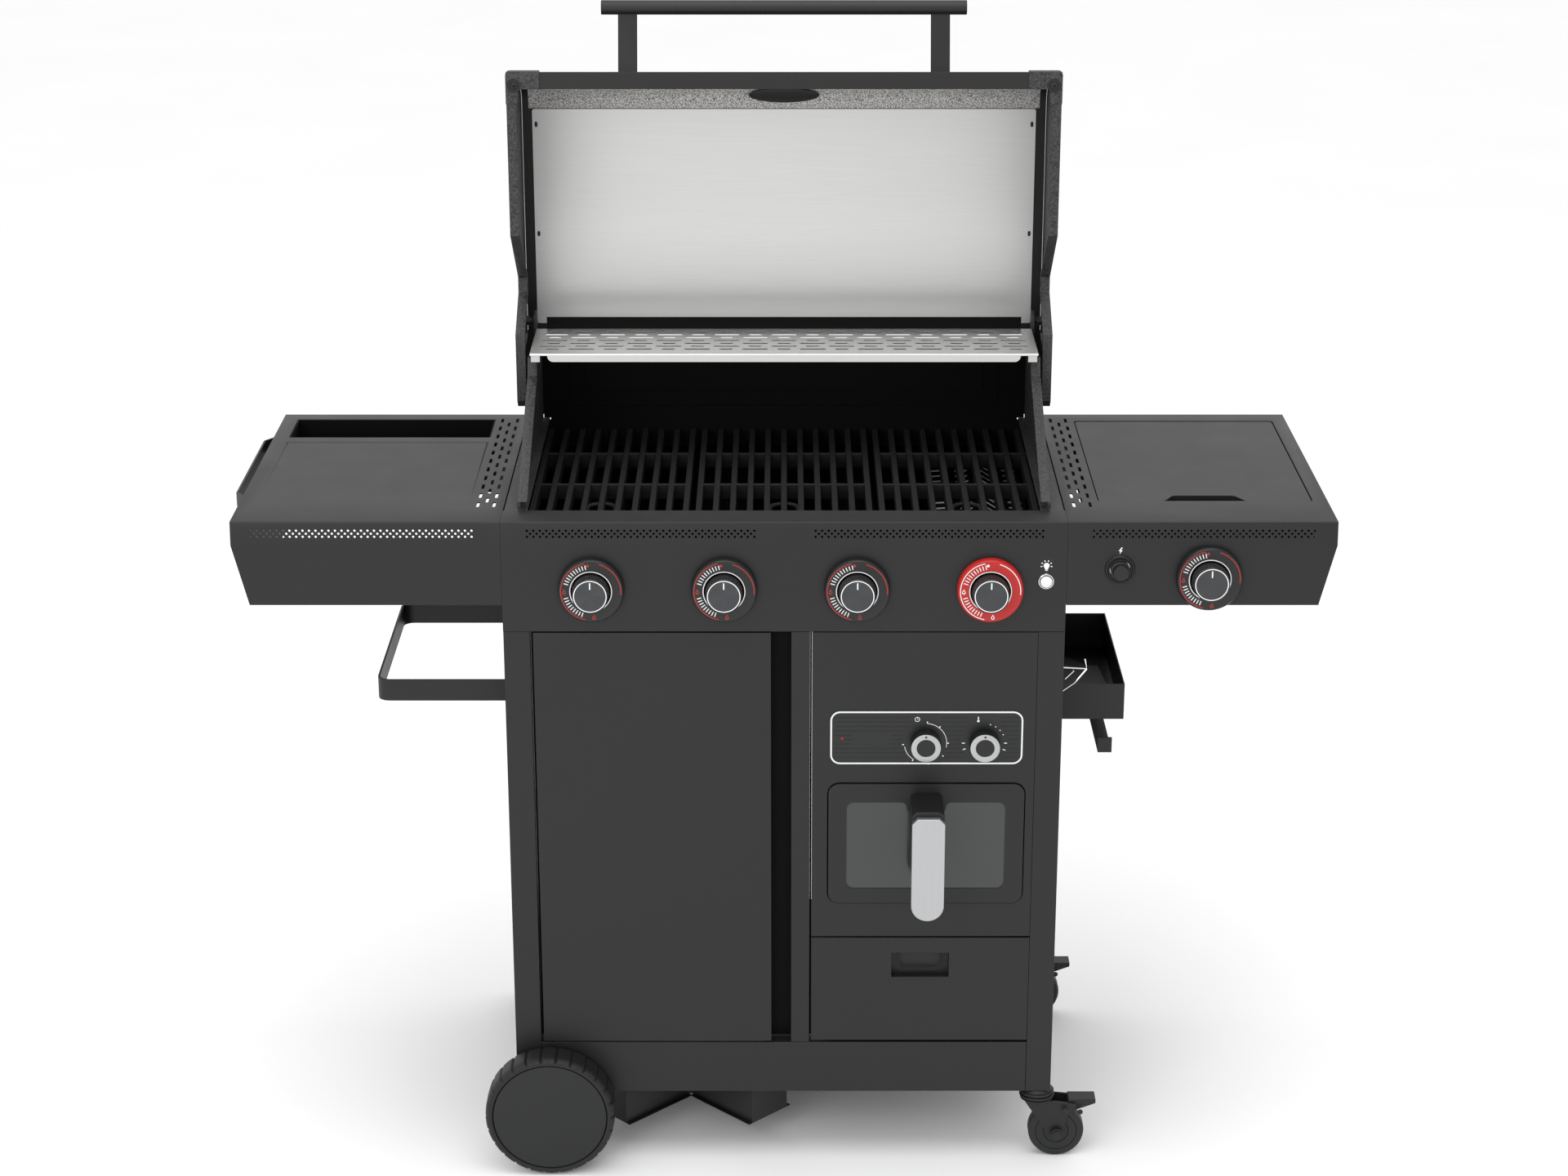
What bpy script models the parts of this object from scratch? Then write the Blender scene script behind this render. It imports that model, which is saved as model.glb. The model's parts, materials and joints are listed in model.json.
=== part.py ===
"""Gas barbecue grill on a wheeled cabinet: four burners under an open lid, a side burner, two side
shelves, and a cabinet with a door, a drawer and an air fryer.

The grill stands on the floor at Z = 0 and faces -Y. All pieces are placed under one empty that
stands at the front of the control panel, so Y below is counted back from that face. A piece that
moves has its origin on its joint's axis.
"""

import math

import bmesh
import bpy
from mathutils import Vector

# ---- Driving dimensions, in metres ----

GAP = 0.0003  # between pieces that touch
WELD = 1e-6  # points this near are one
CUT_PAST = 0.010  # how far a cutter stands out of what it cuts
SMOOTH_ANGLE = math.radians(35)  # a turned piece is shaded sharp past this
SHEET = 0.0015  # folded sheet steel
CHAMFER = 0.003  # on wheels and casters

TOP = 0.920  # height of the shelves and the control panel
BODY_HALF = 0.3627  # half width of the body, out to where the shelves start

# Cabinet frame
LEG_WIDTH = 0.034
LEG_DEPTH = 0.036
LEG_FRONT = 0.002  # setback of the legs behind the control panel
LEG_REAR = 0.4185  # front face of the rear legs
LEG_BOTTOM = 0.1034
BASE_TOP = 0.178
POST_WIDTH = 0.0244
POST_DEPTH = 0.025
FRYER_BAY = 0.2949  # width of the bay between the post and the right leg
PULL_GAP = 0.0264  # hand gap beside the door
CHANNEL_DEPTH = 0.0215  # channel behind the hand gap, back from the panel's front
CHANNEL_LAP = 0.008  # channel's reach behind the door's edge

# Gas tank seat
TANK_X = -0.130
TANK_Y = 0.160
TANK_HOLE = 0.135
CRADLE_HALF_LENGTH = 0.156
CRADLE_HALF_WIDTH = 0.0335
CRADLE_BOTTOM = 0.040
CRADLE_TOP = 0.1015

# Big wheels and their stub axles
WHEEL_RADIUS = 0.0875
WHEEL_WIDTH = 0.045
WHEEL_SHOULDER = 0.008
WHEEL_RIM = 0.013  # width of the tyre's side, round the cap
WHEEL_INSET = 0.0464  # from the body's side to the wheel's centre
WHEEL_PLAY = 0.0015
AXLE_RADIUS = 0.006
AXLE_LENGTH = 0.038
AXLE_CLEARANCE = 0.0006
AXLE_PLATE = 0.004
AXLE_BELOW = 0.0195  # plate below the axle's centre

# Casters
CASTER_RADIUS = 0.038
CASTER_WIDTH = 0.022
CASTER_TRAIL = 0.0272
CASTER_HEAD_RADIUS = 0.021
CASTER_HEAD_CLEARANCE = 0.008  # fork's head above the wheel
CASTER_STEM_RADIUS = 0.005
CASTER_STEM_HEIGHT = 0.030
CASTER_PIN_RADIUS = 0.004
FORK_PLATE = 0.0025
FORK_CLEARANCE = 0.0015
CHEEK_HALF_TOP = 0.017
CHEEK_LAP = 0.002  # cheek's overlap with the fork's head
CHEEK_OUTLINE = (  # X and Z from the wheel's centre
    (-0.010, -0.004), (-0.004, -0.011), (0.004, -0.011), (0.010, -0.004), (0.014, 0.024),
    (0.026, 0.034),
)
PEDAL_REACH = 0.080  # from the swivel axis to the pedal's end
PEDAL_PIVOT = (0.020, CASTER_RADIUS + 0.002)  # X and Z from the wheel's centre
PEDAL_THICK = 0.006

# Control panel
PANEL_HEIGHT = 0.1488
STRIP_HEIGHT = 0.031  # sloped strip along the top of the panel
STRIP_SLOPE = 0.003
PANEL_SHELF = 0.050  # flat top of the panel, front to back
PANEL_RETURN = 0.045

# Burner controls
BURNER_COUNT = 4
BURNER_PITCH = 0.1707
BURNER_CENTRE = 0.0085
BURNER_DROP = 0.089  # knob centres below the shelf height
BEZEL_RADIUS = 0.0425
BEZEL_DEPTH = 0.013
BEZEL_BORE = 0.0255
BEZEL_FLOOR = 0.0025
KNOB_RADIUS = 0.024
KNOB_FRONT = 0.032
KNOB_BACK = 0.0035
KNOB_EDGE = 0.0028
BEZEL_EDGE = 0.0023
BUTTON_EDGE = 0.001
KNOB_SHAFT = 0.0045
SHAFT_HOLE = 0.006
SHAFT_END = 0.020
SIDE_KNOB_X = 0.1823  # from the body's side
SIDE_KNOB_DROP = 0.073
LIGHT_X = 0.0263  # in from the body's side
LIGHT_DROP = 0.079
LIGHT_RADIUS = 0.0065
LIGHT_FRONT = 0.006
IGNITER_X = 0.0679  # out from the body's side
IGNITER_DROP = 0.063
IGNITER_RADIUS = 0.009
IGNITER_FRONT = 0.014
BUTTON_CLEARANCE = 0.001
BUTTON_END = 0.006

# Firebox
TUB_INSET = 0.004  # tub wall in from the body's side
TUB_FRONT = 0.052
TUB_REAR = 0.475
TUB_WALL = 0.002
REAR_WALL_TOP = 0.115  # above the shelf height
REAR_WALL_LAP = 0.010  # rear wall's overlap with the tub
LEDGE_DROP = 0.001  # ledge's top below the shelf height
LEDGE_THICK = 0.0022
CASTING_OUTER = 0.0184  # casting's wall in from the body's side
CASTING_WALL = 0.004
CASTING_FLANGE = 0.013
CASTING_FLANGE_THICK = 0.0035
CASTING_SLOPE = ((0.055, 0.010), (0.267, 0.119))  # sloped upper edge: Y, rise above the shelf height
CASTING_STEP = 0.275  # front of the seat for the warming rack
CASTING_EAR = 0.015  # radius round the hinge pin
CASTING_REAR_TOP = 0.110  # low wall behind the hinge, above the shelf height
GRATE_DROP = 0.015  # grates' top below the shelf height
GRATE_HEIGHT = 0.0212
GRATE_LEDGE = 0.003
GRATE_LEDGE_DEPTH = 0.012
GRATE_COUNT = 3
GRATE_SPACING = 0.0087  # between two grates
GRATE_SIDE_CLEARANCE = 0.0009
GRATE_END_CLEARANCE = 0.004
BAR_COUNT = 11
BAR_WIDTH = 0.008
CROSSBAR_WIDTH = 0.006
CROSSBARS = (0.070, 0.210, 0.350)

# Burners and what is over and under them
MANIFOLD_RADIUS = 0.009
MANIFOLD_Y = 0.036
MANIFOLD_END = 0.025  # manifold's reach past the outer burners
VALVE_INSET = 0.001  # valve's radius inside the manifold's
VALVE_GAP = 0.0015  # behind the knob's shaft
VALVE_REACH = 0.012  # valve's end behind the manifold's axis
VENTURI_RADIUS = 0.007
VENTURI_CLEARANCE = 0.0015
BURNER_RADIUS = 0.013
BURNER_FRONT = 0.075
BURNER_REAR = 0.440
TENT_HALF_WIDTH = 0.032
TENT_RISE = 0.020
TENT_FOOT_DROP = 0.071  # tents' lower edge below the shelf height
TENT_THICK = 0.0016
TENT_FRONT_GAP = 0.006
TENT_REAR_GAP = 0.018
TENT_STRIP_WIDTH = 0.008
TENT_STRIP_THICK = 0.0035
TRAY_HALF_WIDTH = 0.155
TRAY_FRONT = 0.100
TRAY_REAR = 0.420
TRAY_HEIGHT = 0.026
TRAY_HANG = 0.009  # tray's top below the tub
GREASE_HOLE = 0.050
RAIL_SIDE = 0.0015
RAIL_LIP = 0.008

# Warming rack
RACK_INSET = 0.0237  # rack's end in from the body's side
RACK_FRONT = 0.247
RACK_REAR = 0.378
RACK_RISE = 0.155  # rack's top above the shelf height
RACK_THICK = 0.002
RACK_LIP = 0.009
RACK_UPSTAND = 0.022
RACK_FOOT = 0.0127
RACK_FOOT_INSET = 0.004

# Lid, stored open: its rim plane is upright
HINGE_Y = 0.400
HINGE_RISE = 0.160  # hinge above the shelf height
LID_INSET = 0.0027  # lid's side in from the body's side
LID_SHEET = 0.002
LID_RIM_Y = -0.155  # rim plane, from the hinge
LID_TOP_Y = 0.048  # lid's top sheet, from the hinge
LID_TIP = 0.372  # front lip above the hinge while open
LID_SHOULDER = 0.314  # where the front wall meets the top sheet
LID_TAIL = -0.030  # rear end of the top sheet
LID_CORNER = 0.028
LID_RIM_FLANGE = 0.0225
LID_RIM_LOW = 0.155  # lower end of the straight rim, above the hinge
LID_END_TAIL = (  # the end's tail and notch, from the hinge
    (-0.055, -0.060), (-0.075, -0.090), (-0.112, -0.090), (-0.122, -0.080), (-0.122, 0.013),
    (-0.055, 0.055), (-0.055, 0.075),
)
LID_END_WALL = 0.003
LID_END_FLANGE_THICK = 0.0035
LID_END_FLANGE = 0.013
HINGE_PIN = 0.006
HINGE_CLEARANCE = 0.0006
HANDLE_RADIUS = 0.0095
HANDLE_HALF_LENGTH = 0.239
HANDLE_STANDOFF = 0.089
HANDLE_FOOT = 0.055  # back from the rim, along Y
BRACKET_X = 0.2045
BRACKET_WIDTH = 0.025
BRACKET_THICK = 0.005

# Side shelves
SHELF_WIDTH = 0.345
SHELF_DEPTH = 0.4884
SHELF_HEIGHT = 0.1118
SHELF_TAPER = 0.0202
TROUGH_X = (0.0443, SHELF_WIDTH - 0.0212)  # opening, out from the body's side
TROUGH_Y = (0.374, 0.462)
TROUGH_DEPTH = 0.080
TROUGH_CLEARANCE = 0.0005
BURNER_LID_X = (0.0473, SHELF_WIDTH - 0.0207)  # out from the body's side
BURNER_LID_Y = (0.091, 0.4525)
BURNER_LID_GAP = 0.0015
BURNER_LID_REAR_GAP = 0.0021
BURNER_LID_DROP = 0.0005
BURNER_LID_DEPTH = 0.0085
BURNER_LID_SHEET = 0.0012
BURNER_LID_PIN = 0.0015
BURNER_LID_PIN_DROP = 0.0045
BURNER_LID_PIN_INSET = 0.004
BURNER_LID_PIN_CLEARANCE = 0.0004
NOTCH_X = (0.1323, 0.2423)  # finger notch, out from the body's side
NOTCH_DEPTH = 0.024
PAN_MARGIN = 0.006  # pan's wall outside the lid's edge
PAN_DEPTH = 0.058
PAN_BURNER_RADIUS = 0.045
PAN_BURNER_HEIGHT = 0.028
POT_BAR = 0.006
POT_BAR_HEIGHT = 0.008
POT_BAR_DROP = 0.010  # bars' top below the pan's

# Bag holder and caddy on the cabinet's sides
HOLDER_Y = (0.060, 0.360)
HOLDER_WIDTH = 0.1745
HOLDER_TOP = 0.682
HOLDER_HEIGHT = 0.030
HOLDER_THICK = 0.003
HOLDER_CORNER = 0.016
CADDY_WIDTH = 0.0915
CADDY_Y = (0.100, 0.376)
CADDY_Z = (0.610, 0.660)
HOOK_X = (0.0563, 0.0749)  # out from the body's side
HOOK_Z = 0.570
HOOK_THICK = 0.003
HOOK_FRONT = 0.080
HOOK_REAR = 0.300
HOOK_TIP = 0.021
HOOK_SLOPE = 0.020  # length of the strap's rear slope, along Y

# Cabinet door
DOOR_SIDE_GAP = 0.0042
DOOR_DEPTH = 0.018
DOOR_END_GAP = 0.003
DOOR_TOP_GAP = 0.0012
DOOR_PIN_INSET = 0.007
DOOR_PIN_RADIUS = 0.003
DOOR_PIN_CLEARANCE = 0.0006
DOOR_PIN_LENGTH = 0.010

# Air fryer
FASCIA_GAP = 0.0029
FASCIA_HEIGHT = 0.4332
FRYER_WINDOW_LOW = 0.0496  # drawer front's lower edge above the fascia's
FRYER_FRONT_HEIGHT = 0.1716
FRYER_FRONT_WIDTH = FRYER_BAY - 0.0373
FRYER_FRONT_SHIFT = 0.0048  # drawer front right of the fascia's middle
FRYER_FRONT_CORNER = 0.014
FRYER_FRONT_THICK = 0.007
FRYER_FRONT_PROUD = 0.001
FRYER_GAP = 0.0015
HOUSING_DEPTH = 0.340
HOUSING_HEIGHT = 0.330
HOUSING_LOW = 0.0386  # housing's floor above the fascia's lower edge
HOUSING_SIDE = 0.0127  # housing's side in from the fascia's
PAN_INSET = 0.007
PAN_LENGTH = 0.295
PAN_HEIGHT = 0.110
BASKET_CLEARANCE = 0.004
HANDLE_WIDTH = 0.043
HANDLE_REACH = 0.075
HANDLE_GRIP = 0.015
HANDLE_GRIP_HEIGHT = 0.145
HANDLE_TOP_DROP = 0.018  # grip's top below the drawer front's
HANDLE_ARM = 0.030
HANDLE_RISE = 0.006  # arm's rise at the drawer's front, and the chamfer at its other end
DIAL_RADIUS = 0.020
DIAL_FRONT = 0.018
DIAL_BACK = 0.002  # dial's back in front of the fascia
DIAL_TAPER = 0.001
DIAL_SHAFT = 0.003
DIAL_SHAFT_END = 0.008
DIAL_X = (0.1437, 0.0667)  # timer and temperature, in from the right leg
DIAL_RISE = 0.2792  # above the fascia's lower edge

# Lower drawer
DRAWER_GAP = 0.0035
DRAWER_HEIGHT = 0.1525
DRAWER_FRONT_DEPTH = 0.016
DRAWER_LENGTH = 0.380
DRAWER_SIDE = 0.0125
DRAWER_TRAY_RISE = 0.008
DRAWER_TRAY_HEIGHT = 0.115
PULL_WIDTH = 0.077
PULL_HEIGHT = 0.036
PULL_DROP = 0.022  # pull's top below the drawer front's
PULL_DEPTH = 0.0125

ROUND = 32  # sides of a turned piece
SMALL_ROUND = 16
BURNER_SIDES = 18

# ---- Places that follow from the dimensions ----

PANEL_BOTTOM = TOP - PANEL_HEIGHT
LEG_TOP = PANEL_BOTTOM - GAP
LEG_OUTER = BODY_HALF
LEG_INNER = BODY_HALF - LEG_WIDTH
FRAME_REAR = LEG_REAR + LEG_DEPTH
WHEEL_X = -(BODY_HALF - WHEEL_INSET)
CASTER_X = LEG_INNER + LEG_WIDTH / 2
LEG_CENTRES = {"front": LEG_FRONT + LEG_DEPTH / 2, "rear": LEG_REAR + LEG_DEPTH / 2}
BURNER_Z = TOP - BURNER_DROP
BURNER_XS = [
    BURNER_CENTRE + (i - (BURNER_COUNT - 1) / 2) * BURNER_PITCH for i in range(BURNER_COUNT)
]
SIDE_KNOB = (BODY_HALF + SIDE_KNOB_X, TOP - SIDE_KNOB_DROP)
LIGHT = (BODY_HALF - LIGHT_X, TOP - LIGHT_DROP)
IGNITER = (BODY_HALF + IGNITER_X, TOP - IGNITER_DROP)
TUB_HALF = BODY_HALF - TUB_INSET
TUB_BOTTOM = PANEL_BOTTOM
LEDGE_Z = (TOP - LEDGE_DROP - LEDGE_THICK, TOP - LEDGE_DROP)
TUB_TOP = LEDGE_Z[0] - GAP
CASTING_X = BODY_HALF - CASTING_OUTER
HINGE_Z = TOP + HINGE_RISE
GRATE_TOP = TOP - GRATE_DROP
RACK_TOP = TOP + RACK_RISE
RACK_REST = RACK_TOP - RACK_FOOT
LID_HALF = BODY_HALF - LID_INSET
FASCIA_X = (LEG_INNER - FRYER_BAY + FASCIA_GAP, LEG_INNER - GAP)
POST_X = (LEG_INNER - FRYER_BAY - POST_WIDTH, LEG_INNER - FRYER_BAY)
FASCIA_TOP = PANEL_BOTTOM - DOOR_TOP_GAP
FASCIA_LOW = FASCIA_TOP - FASCIA_HEIGHT
DOOR_X = (-LEG_INNER + DOOR_SIDE_GAP, POST_X[0] - PULL_GAP)
DOOR_Z = (BASE_TOP + DOOR_END_GAP, PANEL_BOTTOM - DOOR_TOP_GAP)
DOOR_PIN = (DOOR_X[0] + DOOR_PIN_INSET, DOOR_PIN_INSET)
FRYER_FRONT_X = (
    sum(FASCIA_X) / 2 + FRYER_FRONT_SHIFT - FRYER_FRONT_WIDTH / 2,
    sum(FASCIA_X) / 2 + FRYER_FRONT_SHIFT + FRYER_FRONT_WIDTH / 2,
)
FRYER_FRONT_Z = (
    FASCIA_LOW + FRYER_WINDOW_LOW,
    FASCIA_LOW + FRYER_WINDOW_LOW + FRYER_FRONT_HEIGHT,
)
PANEL_Y = -(FRAME_REAR + WHEEL_PLAY + WHEEL_WIDTH - HANDLE_REACH) / 2

# name: (sRGB colour, roughness, metallic)
FINISHES = {
    "black enamel": ("#3A3A3B", 0.42, 0.0),
    "textured black": ("#2C2C2D", 0.6, 0.0),
    "cast iron": ("#161616", 0.7, 0.2),
    "stainless steel": ("#C4C4C2", 0.3, 1.0),
    "aluminised steel": ("#8C8C8A", 0.45, 1.0),
    "black plastic": ("#1B1B1C", 0.45, 0.0),
    "red enamel": ("#C42A26", 0.4, 0.0),
    "dark aluminium": ("#3C3D3F", 0.3, 0.9),
    "chrome": ("#D8D8D8", 0.12, 1.0),
    "rubber": ("#262626", 0.8, 0.0),
}


# ---- Making and joining solids ----


def clear_scene():
    for obj in list(bpy.data.objects):
        bpy.data.objects.remove(obj, do_unlink=True)


def linear_colour(code):
    channels = [int(code[i : i + 2], 16) / 255 for i in (1, 3, 5)]
    return [c / 12.92 if c <= 0.04045 else ((c + 0.055) / 1.055) ** 2.4 for c in channels]


def set_finish(obj, finish):
    colour, roughness, metallic = FINISHES[finish]
    material = bpy.data.materials.new(f"{finish} {obj.name}")
    material.use_nodes = True
    shader = material.node_tree.nodes["Principled BSDF"]
    shader.inputs["Base Color"].default_value = (*linear_colour(colour), 1)
    shader.inputs["Roughness"].default_value = roughness
    shader.inputs["Metallic"].default_value = metallic
    obj.data.materials.append(material)


def make_object(name, bm, at, turn):
    """A mesh object under the grill's empty, with its origin at the point given."""
    bmesh.ops.remove_doubles(bm, verts=bm.verts, dist=WELD)
    bmesh.ops.recalc_face_normals(bm, faces=bm.faces)
    bmesh.ops.translate(bm, verts=bm.verts, vec=-Vector(at))
    mesh = bpy.data.meshes.new(name)
    bm.to_mesh(mesh)
    bm.free()
    obj = bpy.data.objects.new(name, mesh)
    bpy.context.scene.collection.objects.link(obj)
    obj.parent = bpy.data.objects["grill"]
    obj.location = at
    obj.rotation_euler = (0, 0, turn)
    return obj


def part(name, bm, finish, at=(0, 0, 0), turn=0.0, smooth=False):
    obj = make_object(name, bm, at, turn)
    if smooth:
        obj.data.shade_smooth()
        obj.data.set_sharp_from_angle(angle=SMOOTH_ANGLE)
    set_finish(obj, finish)
    return obj


def combine(obj, bm, operation):
    """Cut a helper solid from a part, or join it on."""
    label = f"{obj.name}_{operation.lower()}_{len(obj.modifiers)}"
    helper = make_object(label, bm, obj.location, obj.rotation_euler[2])
    helper.hide_render = True
    helper.display_type = "WIRE"
    modifier = obj.modifiers.new(label, "BOOLEAN")
    modifier.operation = operation
    modifier.solver = "EXACT"
    modifier.object = helper


def cut(obj, bm):
    combine(obj, bm, "DIFFERENCE")


def join(obj, bm):
    combine(obj, bm, "UNION")


def on_axis(axis, a, b, t):
    """The point at t along an axis, with a and b on the other two in X, Y, Z order."""
    point = [a, b]
    point.insert(axis, t)
    return point


def prism(outline, axis, low, high):
    """A closed outline extruded along an axis, from low to high."""
    bm = bmesh.new()
    face = bm.faces.new([bm.verts.new(on_axis(axis, a, b, low)) for a, b in outline])
    grown = bmesh.ops.extrude_face_region(bm, geom=[face])["geom"]
    moved = [v for v in grown if isinstance(v, bmesh.types.BMVert)]
    bmesh.ops.translate(bm, verts=moved, vec=on_axis(axis, 0, 0, high - low))
    return bm


def box(x, y, z):
    return prism([(x[0], y[0]), (x[1], y[0]), (x[1], y[1]), (x[0], y[1])], 2, *z)


def hollow(bm, wall, side):
    """Sink the face that points to one side, such as "-Z", and leave a wall all round it."""
    direction = Vector(on_axis("XYZ".index(side[1]), 0, 0, 1 if side[0] == "+" else -1))
    bmesh.ops.recalc_face_normals(bm, faces=bm.faces)
    bm.normal_update()
    face = max(bm.faces, key=lambda f: f.normal.dot(direction))
    depth = max(direction.dot(face.verts[0].co - v.co) for v in bm.verts)
    bmesh.ops.inset_region(bm, faces=[face], thickness=wall, use_even_offset=True)
    grown = bmesh.ops.extrude_face_region(bm, geom=[face])["geom"]
    moved = [v for v in grown if isinstance(v, bmesh.types.BMVert)]
    bmesh.ops.translate(bm, verts=moved, vec=direction * (wall - depth))
    bmesh.ops.delete(bm, geom=[face], context="FACES_ONLY")
    return bm


def open_box(x, y, z, wall, side):
    return hollow(box(x, y, z), wall, side)


def turned(profile, axis, centre, sides=ROUND):
    """A profile of (radius, place along the axis) turned round an axis through a point."""
    bm = bmesh.new()
    direction = Vector(on_axis(axis, 0, 0, 1))
    across = Vector(on_axis(axis, 1, 0, 0))
    origin = Vector(centre)
    origin[axis] = 0
    points = [bm.verts.new(origin + across * r + direction * t) for r, t in profile]
    loop = list(zip(points, points[1:] + points[:1]))
    if profile[0][0] == 0 and profile[-1][0] == 0:
        loop.pop()
    edges = [bm.edges.new(pair) for pair in loop]
    bmesh.ops.spin(
        bm, geom=points + edges, cent=origin, axis=direction, angle=math.tau, steps=sides,
        use_merge=True,
    )
    bmesh.ops.remove_doubles(bm, verts=bm.verts, dist=WELD)
    return bm


def rod(radius, axis, centre, low, high, sides=SMALL_ROUND):
    profile = [(0, low), (radius, low), (radius, high), (0, high)]
    return turned(profile, axis, centre, sides)


def arc(centre, radius, start, end, steps=4):
    """Points along an arc, from one angle in degrees to another."""
    angles = [math.radians(start + (end - start) * i / steps) for i in range(steps + 1)]
    return [(centre[0] + radius * math.cos(a), centre[1] + radius * math.sin(a)) for a in angles]


def rounded_rectangle(x, z, radius):
    return (
        arc((x[1] - radius, z[0] + radius), radius, -90, 0)
        + arc((x[1] - radius, z[1] - radius), radius, 0, 90)
        + arc((x[0] + radius, z[1] - radius), radius, 90, 180)
        + arc((x[0] + radius, z[0] + radius), radius, 180, 270)
    )


def strip_along(points, thickness):
    """The outline of a strip that follows points, with its thickness on the left of the path."""
    points = [Vector(p) for p in points]
    runs = [(b - a).normalized() for a, b in zip(points, points[1:])]
    normals = [Vector((-run.y, run.x)) for run in runs]
    inner = [points[0] + normals[0] * thickness]
    for point, before, after in zip(points[1:], normals, normals[1:]):
        mitre = (before + after).normalized()
        inner.append(point + mitre * thickness / mitre.dot(before))
    inner.append(points[-1] + normals[-1] * thickness)
    return [tuple(p) for p in points] + [tuple(p) for p in reversed(inner)]


def mirrored(x, side):
    """A range of X on the right, or its mirror image on the left."""
    return (x[0], x[1]) if side > 0 else (-x[1], -x[0])


def grown(limits, by):
    return (limits[0] - by, limits[1] + by)


def side_name(side):
    return "right" if side > 0 else "left"


# ---- Cabinet frame ----


def make_legs():
    """Four square tubes. The left ones reach lower, to carry the stub axles of the big wheels."""
    lows = {"front": LEG_FRONT, "rear": LEG_REAR}
    for side in (-1, 1):
        for place, y in lows.items():
            bottom = LEG_BOTTOM if side > 0 else WHEEL_RADIUS - AXLE_BELOW
            x = mirrored((LEG_INNER, LEG_OUTER), side)
            bm = open_box(x, (y, y + LEG_DEPTH), (bottom, LEG_TOP), SHEET, "+Z")
            leg = part(f"leg_{place}_{side_name(side)}", bm, "black enamel")
            if side > 0:
                stem = (CASTER_X, LEG_CENTRES[place], 0)
                hole = CASTER_STEM_RADIUS + BUTTON_CLEARANCE
                cut(leg, rod(hole, 2, stem, bottom - SHEET, bottom + 2 * SHEET))
            else:
                add_stub_axle(leg, place)


def add_stub_axle(leg, place):
    outward = -1 if place == "front" else 1
    face = LEG_FRONT if place == "front" else FRAME_REAR
    plate_x = (-LEG_OUTER + SHEET / 2, WHEEL_X + AXLE_BELOW)
    plate_y = sorted((face - outward * SHEET / 5, face - outward * AXLE_PLATE))
    plate_z = (WHEEL_RADIUS - AXLE_BELOW + SHEET / 2, LEG_BOTTOM - GAP)
    join(leg, box(plate_x, plate_y, plate_z))
    ends = sorted((face - outward * AXLE_PLATE / 2, face + outward * AXLE_LENGTH))
    join(leg, rod(AXLE_RADIUS, 1, (WHEEL_X, 0, WHEEL_RADIUS), *ends))


def make_base_shelf():
    """Cabinet floor with its edges folded down, and a round hole for the gas tank."""
    x = grown((-LEG_INNER, LEG_INNER), -GAP)
    bm = open_box(x, (LEG_FRONT, FRAME_REAR), (LEG_BOTTOM, BASE_TOP), SHEET, "-Z")
    shelf = part("base_shelf", bm, "black enamel")
    hole = rod(TANK_HOLE, 2, (TANK_X, TANK_Y, 0), BASE_TOP - 2 * SHEET, BASE_TOP + SHEET, ROUND)
    cut(shelf, hole)
    pin = rod(DOOR_PIN_RADIUS, 2, (*DOOR_PIN, 0), BASE_TOP - SHEET / 2, BASE_TOP + DOOR_PIN_LENGTH)
    join(shelf, pin)


def make_tank_cradle():
    """Two crossed channels hung below the tank hole on four tabs."""
    length, width = CRADLE_HALF_LENGTH, CRADLE_HALF_WIDTH
    outline = [
        (length, -width), (length, width), (width, width), (width, length),
        (-width, length), (-width, width), (-length, width), (-length, -width),
        (-width, -width), (-width, -length), (width, -length), (width, -width),
    ]
    centred = [(TANK_X + a, TANK_Y + b) for a, b in outline]
    bm = hollow(prism(centred, 2, CRADLE_BOTTOM, CRADLE_TOP), SHEET, "-Z")
    centre = (TANK_X, TANK_Y, 0)
    cradle = part("tank_cradle", bm, "black enamel", at=centre, turn=math.pi / 4)
    tab_z = (CRADLE_TOP - SHEET, BASE_TOP - SHEET - GAP)
    for along in (-1, 1):
        ends = sorted((along * length, along * (length - SHEET)))
        across = grown((-width, width), -SHEET)
        shift = [(TANK_X + e, TANK_Y + e) for e in ends]
        tab_x = (shift[0][0], shift[1][0])
        tab_y = (shift[0][1], shift[1][1])
        join(cradle, box(tab_x, (TANK_Y + across[0], TANK_Y + across[1]), tab_z))
        join(cradle, box((TANK_X + across[0], TANK_X + across[1]), tab_y, tab_z))


def make_side_panels():
    for side in (-1, 1):
        x = mirrored((LEG_OUTER - SHEET, LEG_OUTER), side)
        y = (LEG_FRONT + LEG_DEPTH + GAP, LEG_REAR - GAP)
        bm = box(x, y, (LEG_BOTTOM, LEG_TOP))
        part(f"side_panel_{side_name(side)}", bm, "black enamel")


def make_centre_post():
    """A post with a flange that closes the hand gap beside the door from behind."""
    z = (BASE_TOP + GAP, PANEL_BOTTOM - GAP)
    bm = open_box(POST_X, (LEG_FRONT, LEG_FRONT + POST_DEPTH), z, SHEET, "+Z")
    post = part("centre_post", bm, "black enamel")
    channel_x = (DOOR_X[1] - CHANNEL_LAP, POST_X[0] + SHEET / 2)
    join(post, box(channel_x, (CHANNEL_DEPTH, CHANNEL_DEPTH + SHEET), z))


# ---- Wheels and casters ----


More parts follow.
